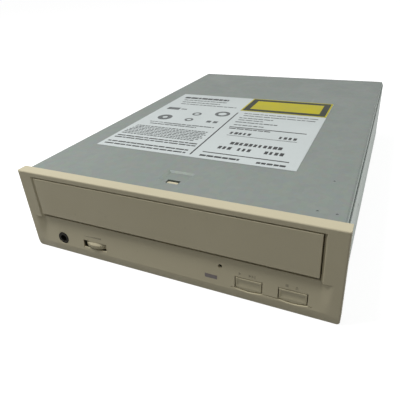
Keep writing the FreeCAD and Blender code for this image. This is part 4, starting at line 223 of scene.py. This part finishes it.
def sheet_steel(name, base, roughness, metallic, along="Y", specular=0.5, sides=(0.9, 0.0), painted_light_front_rear=(1, 1)):
    """Zinc-plated sheet: rolling lines, faint spangle, cloudy tone, smudges and light scratches.

    The rolling lines run along one axis. sides: how metallic the upright sides are, and how much painted
    light is added to lighten them. The front and rear shares: the tone at the front and the rear of the
    drive, a painted light gradient.
    """
    r = Recipe(name)
    line_scale = {"X": (0.03, 1, 1), "Y": (1, 0.03, 1)}[along]
    lines = r.noise(1500, 3, 0.6, r.stretched(*line_scale))
    clouds = r.noise(16, 4, 0.55)
    tone = r.ramp(clouds, (0.3, tinted(base, 0.96)), (0.7, tinted(base, 1.04)))
    spangle = r.cells(420, output="Color")
    spangled = r.mix(0.05, tone, spangle, "SOFT_LIGHT")
    lined = r.mix(r.span(lines, 0.35, 0.65, 0.0, 0.07), spangled, tinted(base, 0.80))
    streaks = r.noise(260, 2, 0.5, r.stretched(1, 0.04, 1), 0.4)
    scratches = r.ramp(streaks, (0.71, 0.0), (0.73, 1.0))
    scratched = r.mix(r.sum("MULTIPLY", scratches, 0.22), lined, tinted(base, 1.5))
    side = r.sum("GREATER_THAN", r.sum("ABSOLUTE", r.facing("X")), 0.7)
    # Painted light: the upright sides get a share of the base colour added to lighten them, and the tone is
    # painted lighter at the front and darker at the rear.
    lit = r.mix(side, r.front_to_rear_tone(scratched, *painted_light_front_rear), tinted(base, sides[1]), "ADD")
    r.set(Base_Color=lit, Specular_IOR_Level=specular)
    r.set(Metallic=r.span(side, 0.0, 1.0, metallic, sides[0]))
    smudges = r.noise(38, 5, 0.65, distortion=0.6)
    r.set(Roughness=r.span(smudges, 0.3, 0.7, roughness - 0.06, roughness + 0.08))
    r.bump((lines, 0.0015), (r.noise(24, 2), 0.012))
    return r.material


def turned_metal(name, base, roughness=0.3, metallic=0.9):
    """Drawn or turned metal with fine marks and a little tarnish."""
    r = Recipe(name)
    marks = r.noise(900, 2, 0.5, r.stretched(0.3, 0.3, 4))
    tarnish = r.ramp(r.noise(120, 4, 0.6), (0.35, tinted(base, 0.85)), (0.65, tinted(base, 1.08)))
    r.set(Base_Color=r.mix(r.span(marks, 0.3, 0.7, 0.0, 0.15), tarnish, tinted(base, 0.6)))
    r.set(Metallic=metallic)
    r.set(Roughness=r.span(r.noise(200, 3), 0.3, 0.7, roughness - 0.06, roughness + 0.10))
    r.bump((marks, 0.006))
    return r.material


def rubber(name, base):
    """Matt rubber with a powdery bloom."""
    r = Recipe(name)
    bloom = r.noise(160, 5, 0.65)
    r.set(Base_Color=r.ramp(bloom, (0.4, base), (0.75, tinted(base, 1.9))), Roughness=0.85)
    r.bump((r.noise(1800, 2), 0.012))
    return r.material


def board(name, base):
    """Solder-masked laminate: traces under the mask, pads and the weave of the glass."""
    r = Recipe(name)
    cell = r.cells(190, "DISTANCE_TO_EDGE", "Distance", r.stretched(1, 1, 0))
    tracks = r.ramp(cell, (0.02, 1.0), (0.05, 0.0))
    long_tracks = r.ramp(r.noise(420, 0, 0.5, r.stretched(1, 0.04, 0)), (0.56, 0.0), (0.58, 1.0))
    tracked = r.mix(r.sum("MULTIPLY", tracks, 0.5), base, tinted(base, 1.9))
    lined = r.mix(r.sum("MULTIPLY", long_tracks, 0.45), tracked, tinted(base, 1.6))
    pads = r.ramp(r.cells(520, vector=r.stretched(1, 1, 0)), (0.10, 1.0), (0.13, 0.0))
    sparse = r.ramp(r.noise(60, 1), (0.56, 0.0), (0.6, 1.0))
    dotted = r.mix(r.sum("MULTIPLY", pads, sparse), lined, colour(176, 176, 168))
    r.set(Base_Color=dotted, Coat_Weight=0.3, Coat_Roughness=0.2)
    r.set(Roughness=r.span(r.noise(300, 2), 0.3, 0.7, 0.32, 0.48))
    r.bump((tracks, 0.03), (r.noise(2500, 1), 0.004))
    return r.material


def resin(name, base):
    """Moulded chip resin, fine and matt, with a slightly lighter bloom."""
    r = Recipe(name)
    grain = r.noise(3200, 2)
    r.set(Base_Color=r.ramp(r.noise(260, 3), (0.35, base), (0.7, tinted(base, 1.5))))
    r.set(Roughness=r.span(grain, 0.3, 0.7, 0.45, 0.65))
    r.bump((grain, 0.01))
    return r.material


def white_label(name):
    """Satin label stock with fibres and a little dirt, darker towards the rear."""
    r = Recipe(name)
    base = colour(194, 201, 200)
    fibres = r.noise(900, 3, 0.6, r.stretched(1, 0.35, 1))
    toned = r.ramp(r.noise(22, 4), (0.3, tinted(base, 0.96)), (0.7, tinted(base, 1.03)))
    fibrous = r.mix(r.span(fibres, 0.35, 0.7, 0.0, 0.10), toned, tinted(base, 0.8))
    dirt = r.ramp(r.noise(70, 6, 0.7), (0.62, 0.0), (0.8, 1.0))
    dirty = r.mix(r.sum("MULTIPLY", dirt, 0.25), fibrous, colour(150, 150, 144))
    r.set(Base_Color=r.front_to_rear_tone(dirty, front=1.05, rear=0.82), Specular_IOR_Level=0.2)
    r.set(Roughness=r.span(r.noise(60, 3), 0.3, 0.7, 0.42, 0.55))
    r.bump((fibres, 0.003), (r.noise(45, 2), 0.02))
    return r.material


def yellow_label(name):
    """Yellow label with a dark printed frame a little inside its edge, and nothing else on it."""
    r = Recipe(name)
    low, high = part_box("notice_label")
    x = (low.x / MM, high.x / MM)
    y = (low.y / MM, high.y / MM)
    rim = 0.9
    band = 3.9
    dark_part = r.inside((x[0] + rim, x[1] - rim), (y[0] + rim, y[1] - rim))
    inner = r.inside((x[0] + rim + band, x[1] - rim - band), (y[0] + rim + band, y[1] - rim - band))
    frame_part = r.sum("SUBTRACT", dark_part, inner)
    base = colour(172, 163, 14)
    clouds = r.ramp(r.noise(60, 4), (0.3, tinted(base, 0.9)), (0.7, tinted(base, 1.08)))
    dark = r.ramp(r.noise(300, 3), (0.3, colour(28, 33, 20)), (0.7, colour(38, 44, 28)))
    fibres = r.noise(900, 3, 0.6)
    r.set(Base_Color=r.mix(frame_part, clouds, dark), Specular_IOR_Level=0.12)
    r.set(Roughness=r.span(r.noise(60, 3), 0.3, 0.7, 0.40, 0.52))
    r.bump((fibres, 0.003))
    return r.material


def can_metal(name):
    """Aluminium can with a coloured plastic sleeve below its top."""
    r = Recipe(name)
    bare_top = 0.35
    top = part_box("board_capacitors")[1].z
    sleeve = r.sum("LESS_THAN", r.axis("Z"), top - bare_top * MM)
    metal = r.ramp(r.noise(500, 2), (0.3, colour(168, 168, 168)), (0.7, colour(192, 192, 190)))
    film = r.ramp(r.noise(90, 3), (0.3, colour(34, 42, 74)), (0.7, colour(44, 54, 92)))
    r.set(Base_Color=r.mix(sleeve, metal, film))
    r.set(Metallic=r.sum("SUBTRACT", 0.9, r.sum("MULTIPLY", sleeve, 0.9)), Roughness=0.38)
    r.bump((r.noise(1400, 2), 0.004))
    return r.material


def clear(name, base, roughness, transmission, ior=1.5):
    """Clear or smoky moulding with faint flow lines."""
    r = Recipe(name)
    flow = r.noise(260, 3, 0.5, r.stretched(0.3, 1, 1))
    r.set(Base_Color=r.ramp(flow, (0.3, tinted(base, 0.93)), (0.7, tinted(base, 1.05))))
    r.set(Roughness=r.span(r.noise(300, 2), 0.3, 0.7, roughness * 0.8, roughness * 1.3))
    r.set(Transmission_Weight=transmission, IOR=ior)
    r.bump((flow, 0.004))
    return r.material


def ink(name, base):
    """Printed ink, slightly uneven; the same material also serves as painted shade in the screw recesses."""
    r = Recipe(name)
    r.set(Base_Color=r.ramp(r.noise(700, 3), (0.35, base), (0.75, tinted(base, 1.5))), Roughness=0.6)
    r.bump((r.noise(2200, 2), 0.002))
    return r.material


CREAM = colour(196, 188, 160)
BUTTON = colour(194, 186, 157)
STEEL = colour(128, 135, 130)

materials = {
    # The case gets painted light: lighter upright sides, and a tone painted lighter at the front and darker
    # at the rear.
    "steel_case": sheet_steel(
        "steel_case", STEEL, roughness=0.5, metallic=0.35,
        specular=0.15, sides=(0.9, 0.35), painted_light_front_rear=(1.11, 0.86),
    ),
    "bezel_plastic": moulded("bezel_plastic", CREAM),
    "button_plastic": moulded("button_plastic", BUTTON, roughness=0.45),
    "screw_steel": turned_metal("screw_steel", colour(178, 178, 172), roughness=0.34),
    "chassis_plastic": moulded("chassis_plastic", colour(46, 46, 46), roughness=0.55, mottle=0.08),
    "tray_plastic": moulded("tray_plastic", colour(62, 62, 62), roughness=0.5, mottle=0.06),
    "gear_plastic": moulded("gear_plastic", colour(224, 223, 214), roughness=0.35, grain=0.004, mottle=0.03),
    "belt_rubber": rubber("belt_rubber", colour(38, 38, 38)),
    "pad_rubber": rubber("pad_rubber", colour(44, 44, 44)),
    "turntable_plastic": moulded("turntable_plastic", colour(66, 66, 70), roughness=0.3, grain=0.004),
    "motor_steel": turned_metal("motor_steel", colour(172, 172, 168), roughness=0.32),
    "board_laminate": board("board_laminate", colour(38, 96, 54)),
    "chip_black": resin("chip_black", colour(36, 36, 37)),
    "capacitor_can": can_metal("capacitor_can"),
    "connector_black": moulded(
        "connector_black", colour(40, 38, 33), roughness=0.6, grain=0.008, specular=0.1
    ),
    "connector_white": moulded("connector_white", colour(222, 216, 198), roughness=0.4, grain=0.006),
    "pin_metal": turned_metal("pin_metal", colour(206, 184, 120), roughness=0.25, metallic=1.0),
    "window_plastic": clear("window_plastic", colour(104, 96, 94), roughness=0.4, transmission=0.1),
    "lamp_plastic": clear("lamp_plastic", colour(150, 196, 110), roughness=0.2, transmission=0.6),
    "sled_metal": sheet_steel("sled_metal", colour(170, 171, 171), roughness=0.5, metallic=0.85, along="X"),
    "pickup_shield": sheet_steel(
        "pickup_shield", colour(178, 178, 174), roughness=0.36, metallic=0.9, along="X"
    ),
    "rod_steel": turned_metal("rod_steel", colour(205, 205, 205), roughness=0.16, metallic=1.0),
    "lens_glass": clear("lens_glass", colour(214, 226, 240), roughness=0.03, transmission=0.95, ior=1.6),
    "holder_plastic": moulded("holder_plastic", colour(40, 40, 40), roughness=0.5),
    "magnet_ferrite": resin("magnet_ferrite", colour(62, 62, 64)),
    "label_paper": white_label("label_paper"),
    "notice_paper": yellow_label("notice_paper"),
    "ribbon_film": clear("ribbon_film", colour(214, 214, 206), roughness=0.3, transmission=0.1),
}

for part in frame["record"]["subparts"]:
    mesh = frame["nodes"][part["node"]].data
    mesh.materials.clear()
    mesh.materials.append(materials[part["material_slot"]])


def piece(name, body, material, fill):
    """A new mesh piece that rides on a body; fill adds its faces to an empty bmesh."""
    mesh = bpy.data.meshes.new(name)
    shape = bmesh.new()
    fill(shape)
    bmesh.ops.recalc_face_normals(shape, faces=shape.faces)
    shape.to_mesh(mesh)
    shape.free()
    mesh.materials.append(material)
    made = bpy.data.objects.new(name, mesh)
    bpy.context.scene.collection.objects.link(made)
    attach(made, body)


def prism(shape, low_ring, high_ring):
    """A closed solid between two rings of points."""
    low = [shape.verts.new(point) for point in low_ring]
    high = [shape.verts.new(point) for point in high_ring]
    shape.faces.new(low)
    shape.faces.new(high)
    for number in range(len(low)):
        following = (number + 1) % len(low)
        shape.faces.new((low[number], low[following], high[following], high[number]))


# How far a print stands off its surface, in millimetres.
INK_THICK = 0.03


def flat_print(shape, outline, level):
    """A thin print on a level surface; the outline is in millimetres across and back from the front."""
    ring = [Vector((x * MM, (FRONT + back) * MM, level)) for x, back in outline]
    prism(shape, ring, [point + Vector((0, 0, INK_THICK * MM)) for point in ring])


LABEL_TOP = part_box("rating_label")[1].z


def bar(shape, left, right, back, height):
    """A plain bar on the white label."""
    rear = back + height
    flat_print(shape, [(left, back), (right, back), (right, rear), (left, rear)], LABEL_TOP)


# How far the dashes vary: shares of a row's longest dash and of the usual gap after a dash.
DASH_SHARES = (0.35, 1.0)
GAP_SHARES = (0.7, 1.3)


def dashes(shape, chance, row, gap):
    """One row of plain dashes that stands for a row of small print."""
    left, right, back, height, longest, left_out = row
    least_room = 0.6
    place = left
    while place < right - least_room:
        end = min(right, place + chance.uniform(*DASH_SHARES) * longest)
        if chance.random() >= left_out:
            bar(shape, place, end, back, height)
        place = end + gap * chance.uniform(*GAP_SHARES)


# The usual gap between the dashes of fine and of bold print, in millimetres.
FINE_GAP = 0.45
BOLD_GAP = 0.5

# Rows of fine print, in millimetres: left and right end, distance back from the front, height,
# longest dash and the share of dashes left out.
FINE_ROWS = [
    (-53.0, -21.0, 126.4, 1.3, 5.0, 0.0),
    (-52.0, -24.0, 121.6, 1.3, 4.0, 0.0),
    (-51.0, -10.5, 117.4, 1.2, 5.0, 0.05),
    (-52.0, -42.5, 79.4, 0.9, 3.0, 0.0),
    (-42.0, -9.5, 78.8, 1.3, 6.0, 0.0),
    (-50.0, -19.5, 76.2, 1.2, 6.0, 0.0),
    (-55.5, -8.7, 71.0, 1.2, 2.2, 0.0),
    (-55.5, -9.2, 68.8, 1.2, 2.2, 0.0),
    (-56.0, -9.0, 66.6, 1.2, 2.2, 0.0),
    (-56.5, -9.5, 64.4, 1.2, 2.2, 0.0),
    (-57.0, -9.0, 62.2, 1.2, 2.2, 0.0),
    (-57.0, -9.5, 60.0, 1.2, 2.2, 0.0),
    (-57.2, -12.0, 57.8, 1.2, 2.2, 0.0),
    (-1.7, 43.2, 108.2, 1.1, 5.5, 0.0),
    (-0.9, 42.4, 104.2, 1.1, 5.5, 0.0),
    (-1.9, 19.0, 99.6, 1.2, 4.5, 0.0),
    (-1.1, 14.0, 96.0, 1.1, 4.5, 0.0),
    (-1.6, 23.6, 92.0, 1.3, 4.5, 0.0),
    (-0.6, 17.1, 87.2, 1.2, 4.5, 0.0),
]

# Rows of bold print, drawn the same way in darker ink.
BOLD_ROWS = [
    (-54.9, -21.5, 130.8, 3.4, 5.4, 0.0),
    (-57.1, -7.7, 53.9, 1.2, 5.5, 0.0),
    (-57.3, -7.5, 51.2, 1.2, 5.5, 0.0),
    (-57.2, -8.6, 45.2, 1.3, 5.5, 0.0),
    (-57.0, -8.5, 42.0, 1.3, 5.5, 0.0),
    (-1.1, 22.8, 81.0, 1.2, 4.5, 0.0),
    (-0.7, 19.5, 41.6, 1.8, 4.5, 0.0),
    (27.9, 42.1, 41.2, 1.8, 4.5, 0.0),
]

# The marks of wide-set typing, in millimetres: from one to the next, and how wide they are.
TYPED_STEP = 2.5
TYPED_WIDTHS = (1.2, 2.0)

# Rows of wide-set typing: the spans that hold marks, distance back from the front and height.
TYPED_ROWS = [
    ([(2.4, 13.6), (29.6, 38.5)], 73.2, 3.2),
    ([(8.0, 33.4)], 59.2, 3.4),
    ([(4.1, 9.6), (14.4, 21.8), (28.1, 37.2)], 52.4, 3.4),
]

# Rules: left and right end, distance back from the front and thickness.
RULES = [
    (-1.0, 41.9, 46.2, 0.9),
    (1.8, 39.7, 70.9, 0.45),
    (-1.7, 41.9, 83.3, 1.0),
]

# Outline of the slanted line between the label's two columns: places across and back from the front.
DIVIDER = [(-5.9, 41.6), (-5.1, 41.6), (-5.7, 109.0), (-6.5, 109.0)]

# Plain rings in the row of small signs: middle across, distance back from the front, radius and hole.
DISCS = [
    (-46.9, 89.2, 4.7, 0.35),
    (-30.0, 99.8, 3.0, 0.55),
    (-30.0, 88.6, 2.7, 0.5),
    (-14.4, 104.0, 4.8, 0.55),
]

# Plain bars in the same row: left and right end, distance back from the front and height.
SIGN_BARS = [
    (-54.7, -46.0, 104.6, 4.4),
    (-44.8, -40.8, 106.2, 1.4),
    (-18.1, -15.4, 86.8, 3.2),
    (-13.9, -11.2, 86.8, 3.2),
]


def disc(shape, x, back, radius, hole):
    """A plain printed ring; the hole is a share of its radius."""
    sides = 24
    inner = radius * hole
    for number in range(sides):
        turns = [2 * math.pi * (number + step) / sides for step in (0, 1)]
        outline = [(x + radius * math.cos(turn), back + radius * math.sin(turn)) for turn in turns]
        outline += [(x + inner * math.cos(turn), back + inner * math.sin(turn)) for turn in reversed(turns)]
        flat_print(shape, outline, LABEL_TOP)


def fine_print(shape):
    """The rings, the sign bars and the rows of small print."""
    chance = random.Random(11)
    for ring in DISCS:
        disc(shape, *ring)
    for sign in SIGN_BARS:
        bar(shape, *sign)
    for row in FINE_ROWS:
        dashes(shape, chance, row, FINE_GAP)


def bold_print(shape):
    """The bold rows, the wide-set typing, the rules and the divider."""
    chance = random.Random(5)
    for row in BOLD_ROWS:
        dashes(shape, chance, row, BOLD_GAP)
    for spans, back, height in TYPED_ROWS:
        for left, right in spans:
            place = left
            while place < right:
                bar(shape, place, place + chance.uniform(*TYPED_WIDTHS), back, height)
                place += TYPED_STEP
    for rule in RULES:
        bar(shape, *rule)
    flat_print(shape, DIVIDER, LABEL_TOP)


piece("label_fine_print", "case", ink("fine_ink", colour(74, 78, 78)), fine_print)
piece("label_bold_print", "case", ink("bold_ink", colour(30, 32, 32)), bold_print)


bezel = frame["nodes"]["front_bezel"]
bezel_tree = BVHTree.FromPolygons(
    [vertex.co.copy() for vertex in bezel.data.vertices],
    [tuple(polygon.vertices) for polygon in bezel.data.polygons],
)


def panel_point(x, height):
    """The point of the panel straight behind a place given in millimetres across and up."""
    ahead = 5
    start = Vector((x * MM, (FRONT - ahead) * MM, height * MM))
    return bezel_tree.ray_cast(start, Vector((0, 1, 0)))[0]


def panel_print(shape, outline):
    """A thin print on the panel."""
    ring = [panel_point(x, height) for x, height in outline]
    raised = [point - Vector((0, INK_THICK * MM, 0)) for point in ring]
    prism(shape, ring, raised)


def pointing_right(left, low, size):
    """Outline of a triangle that points right, as high as its size."""
    return [(left, low), (left + size * 0.85, low + size / 2), (left, low + size)]


def pointing_up(left, low, size):
    """Outline of a wide triangle that points up, as high as its size."""
    width = size * 1.25
    return [(left, low), (left + width, low), (left + width / 2, low + size)]


def box_outline(left, low, width, height):
    """Outline of an upright rectangle."""
    return [(left, low), (left + width, low), (left + width, low + height), (left, low + height)]


# The signs on the panel, in millimetres: their foot, their height and each one's left end. The
# skip sign has two triangles and a bar, the eject sign a triangle over a bar.
SIGN_LOW = 12.0
SIGN_HEIGHT = 1.3
PLAY_LEFT = 34.4
SKIP_LEFT = 38.6
SKIP_STEP = 1.2
SKIP_BAR = 0.35
STOP_LEFT = 53.3
STOP_SIDE = 1.2
EJECT_LEFT = 57.2
EJECT_HEIGHT = 0.85
EJECT_BAR = (1.06, 0.3)
EJECT_BAR_DROP = 0.1

# Outline of the thin wedge over the volume wheel: places across and up.
VOLUME_WEDGE = [(-43.3, 12.0), (-33.3, 12.0), (-33.3, 12.9), (-43.3, 12.15)]


def panel_marks(shape):
    """Play, skip, stop and eject signs over the buttons, and the wedge over the volume wheel."""
    skip_bar_left = SKIP_LEFT + 2 * SKIP_STEP
    for outline in (
        pointing_right(PLAY_LEFT, SIGN_LOW, SIGN_HEIGHT),
        pointing_right(SKIP_LEFT, SIGN_LOW, SIGN_HEIGHT),
        pointing_right(SKIP_LEFT + SKIP_STEP, SIGN_LOW, SIGN_HEIGHT),
        box_outline(skip_bar_left, SIGN_LOW, SKIP_BAR, SIGN_HEIGHT),
        box_outline(STOP_LEFT, SIGN_LOW, STOP_SIDE, STOP_SIDE),
        pointing_up(EJECT_LEFT, SIGN_LOW + SIGN_HEIGHT - EJECT_HEIGHT, EJECT_HEIGHT),
        box_outline(EJECT_LEFT, SIGN_LOW - EJECT_BAR_DROP, *EJECT_BAR),
        VOLUME_WEDGE,
    ):
        panel_print(shape, outline)


piece("panel_marks", "case", ink("panel_ink", colour(140, 133, 112)), panel_marks)


# The cross of painted shade in a screw head: share of its length that an arm is wide, and its thickness in
# millimetres.
CROSS_ARM = 0.28
CROSS_THICK = 0.02


def recess(shape, x, y, level, reach, down):
    """A dark cross on a screw head, painted shade that stands for the recess; it faces down where down is
    true.
    """
    thick = (-CROSS_THICK if down else CROSS_THICK) * MM
    arm = reach * CROSS_ARM
    for width, length in ((reach, arm), (arm, reach)):
        ring = [
            Vector((x + side * width / 2, y + end * length / 2, level))
            for side, end in ((-1, -1), (1, -1), (1, 1), (-1, 1))
        ]
        prism(shape, ring, [point + Vector((0, 0, thick)) for point in ring])


def screw_places(node):
    """Each screw of a node: its middle seen from above, its lowest and its highest level."""
    mesh = bmesh.new()
    mesh.from_mesh(frame["nodes"][node].data)
    bmesh.ops.remove_doubles(mesh, verts=mesh.verts, dist=1e-6)
    reached = set()
    places = []
    for first in mesh.verts:
        if first in reached:
            continue
        reached.add(first)
        queue = [first]
        xs, ys, zs = [], [], []
        while queue:
            vertex = queue.pop()
            xs.append(vertex.co.x)
            ys.append(vertex.co.y)
            zs.append(vertex.co.z)
            for edge in vertex.link_edges:
                other = edge.other_vert(vertex)
                if other not in reached:
                    reached.add(other)
                    queue.append(other)
        places.append(((min(xs) + max(xs)) / 2, (min(ys) + max(ys)) / 2, min(zs), max(zs)))
    mesh.free()
    return places


def screw_crosses(node, reach, down, material):
    """A cross of painted shade on each screw of a node; reach is its length in millimetres."""

    def crosses(shape):
        for x, y, low, high in screw_places(node):
            recess(shape, x, y, low if down else high, reach * MM, down)

    piece(node + "_crosses", frame["nodes"][node]["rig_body"], material, crosses)


# Painted shade: flat dark crosses stand for the shade inside the screw recesses.
painted_recess_shade = ink("screw_recess_painted_shade", colour(52, 52, 50))
screw_crosses("case_screws", reach=2.6, down=True, material=painted_recess_shade)
screw_crosses("bridge_screws", reach=1.8, down=False, material=painted_recess_shade)
screw_crosses("board_screws", reach=2.4, down=False, material=painted_recess_shade)
screw_crosses("damper_screws", reach=2.0, down=False, material=painted_recess_shade)


def seen_straight(tree):
    """1 for rays from the camera, a reflection or a clear piece, and 0 for the rays that only light."""
    path = tree.nodes.new("ShaderNodeLightPath")
    seen = path.outputs["Is Camera Ray"]
    for name in ("Is Glossy Ray", "Is Transmission Ray"):
        either = tree.nodes.new("ShaderNodeMath")
        either.operation = "MAXIMUM"
        tree.links.new(seen, either.inputs[0])
        tree.links.new(path.outputs[name], either.inputs[1])
        seen = either.outputs[0]
    return seen


def floor_material():
    """White floor that keeps the shadow, and throws little light back up."""
    material = bpy.data.materials.new("floor_white")
    material.use_nodes = True
    tree = material.node_tree
    tree.nodes.clear()
    out = tree.nodes.new("ShaderNodeOutputMaterial")
    dull = tree.nodes.new("ShaderNodeBsdfDiffuse")
    dull.inputs["Color"].default_value = (0.16, 0.16, 0.155, 1)
    pale = tree.nodes.new("ShaderNodeBsdfDiffuse")
    pale.inputs["Color"].default_value = (0.36, 0.36, 0.36, 1)
    glow = tree.nodes.new("ShaderNodeEmission")
    glow.inputs["Strength"].default_value = 0.85
    both = tree.nodes.new("ShaderNodeAddShader")
    tree.links.new(pale.outputs[0], both.inputs[0])
    tree.links.new(glow.outputs[0], both.inputs[1])
    choice = tree.nodes.new("ShaderNodeMixShader")
    tree.links.new(seen_straight(tree), choice.inputs[0])
    tree.links.new(dull.outputs[0], choice.inputs[1])
    tree.links.new(both.outputs[0], choice.inputs[2])
    tree.links.new(choice.outputs[0], out.inputs["Surface"])
    return material


def make_floor():
    """A wide level floor under the drive, kept out of the part."""
    bpy.ops.mesh.primitive_plane_add(size=12, location=(0, 0, 0))
    floor = bpy.context.object
    floor.name = "floor"
    floor.data.materials.append(floor_material())


def make_world(low, high):
    """White surroundings that shine softly on the object, more from above than from the side."""
    world = bpy.data.worlds.new("studio")
    world.use_nodes = True
    bpy.context.scene.world = world
    tree = world.node_tree
    back = tree.nodes["Background"]
    back.inputs["Color"].default_value = (1, 1, 1, 1)
    place = tree.nodes.new("ShaderNodeTexCoord")
    axes = tree.nodes.new("ShaderNodeSeparateXYZ")
    tree.links.new(place.outputs["Generated"], axes.inputs[0])
    slope = tree.nodes.new("ShaderNodeMapRange")
    slope.interpolation_type = "SMOOTHSTEP"
    slope.inputs["From Min"].default_value = 0.0
    slope.inputs["From Max"].default_value = 0.9
    slope.inputs["To Min"].default_value = low
    slope.inputs["To Max"].default_value = high
    tree.links.new(axes.outputs["Z"], slope.inputs["Value"])
    strength = tree.nodes.new("ShaderNodeMix")
    tree.links.new(seen_straight(tree), strength.inputs[0])
    tree.links.new(slope.outputs[0], strength.inputs[2])
    strength.inputs[3].default_value = 1.0
    tree.links.new(strength.outputs[0], back.inputs["Strength"])


def area_lamp(name, place, aim, size, power, gleam=True):
    """A round lamp; without gleam it lights surfaces but leaves no reflection on them."""
    data = bpy.data.lights.new(name, "AREA")
    data.shape = "DISK"
    data.size = size
    data.energy = power
    lamp = bpy.data.objects.new(name, data)
    lamp.location = place
    lamp.visible_glossy = gleam
    lamp.rotation_euler = (Vector(aim) - Vector(place)).to_track_quat("-Z", "Y").to_euler()
    bpy.context.scene.collection.objects.link(lamp)


# The photograph's camera, solved from the corners of the drive: its angles in degrees, its place
# in millimetres with the second one from the bezel's face, and its focal length and optical
# centre in pixels of the square picture. The sensor's width is in millimetres.
CAMERA_YAW = -25.03
CAMERA_PITCH = 27.53
CAMERA_ROLL = -3.04
CAMERA_PLACE = (78.9, -111.8, 116.8)
PICTURE = 400
FOCAL_LENGTH = 391.9
OPTICAL_CENTRE = (215.3, 182.6)
SENSOR = 36


def make_camera():
    """The photograph's camera, from its measured angles and place."""
    yaw = math.radians(CAMERA_YAW)
    pitch = math.radians(CAMERA_PITCH)
    roll = math.radians(CAMERA_ROLL)
    ahead = Vector((math.sin(yaw) * math.cos(pitch), math.cos(yaw) * math.cos(pitch), -math.sin(pitch)))
    level = Vector((math.cos(yaw), -math.sin(yaw), 0))
    above = level.cross(ahead)
    right = math.cos(roll) * level + math.sin(roll) * above
    top = -math.sin(roll) * level + math.cos(roll) * above
    turn = Matrix((right, top, -ahead)).transposed()
    data = bpy.data.cameras.new("camera")
    data.sensor_width = SENSOR
    data.lens = FOCAL_LENGTH / PICTURE * SENSOR
    data.shift_x = (PICTURE / 2 - OPTICAL_CENTRE[0]) / PICTURE
    data.shift_y = (OPTICAL_CENTRE[1] - PICTURE / 2) / PICTURE
    data.clip_start = 0.005
    data.clip_end = 50
    camera = bpy.data.objects.new("camera", data)
    x, y, z = CAMERA_PLACE
    camera.matrix_world = Matrix.Translation((x * MM, (FRONT + y) * MM, z * MM)) @ turn.to_4x4()
    bpy.context.scene.collection.objects.link(camera)
    bpy.context.scene.camera = camera


make_floor()
make_world(low=0.10, high=0.48)
area_lamp("overhead", place=(-0.46, -0.23, 1.05), aim=(0, 0, 0.03), size=0.4, power=9.6)
area_lamp("rear_fill", place=(0.18, 1.15, 0.15), aim=(0, 0.1, 0.02), size=0.3, power=4.5, gleam=False)
make_camera()
bpy.context.scene.view_settings.view_transform = "Standard"
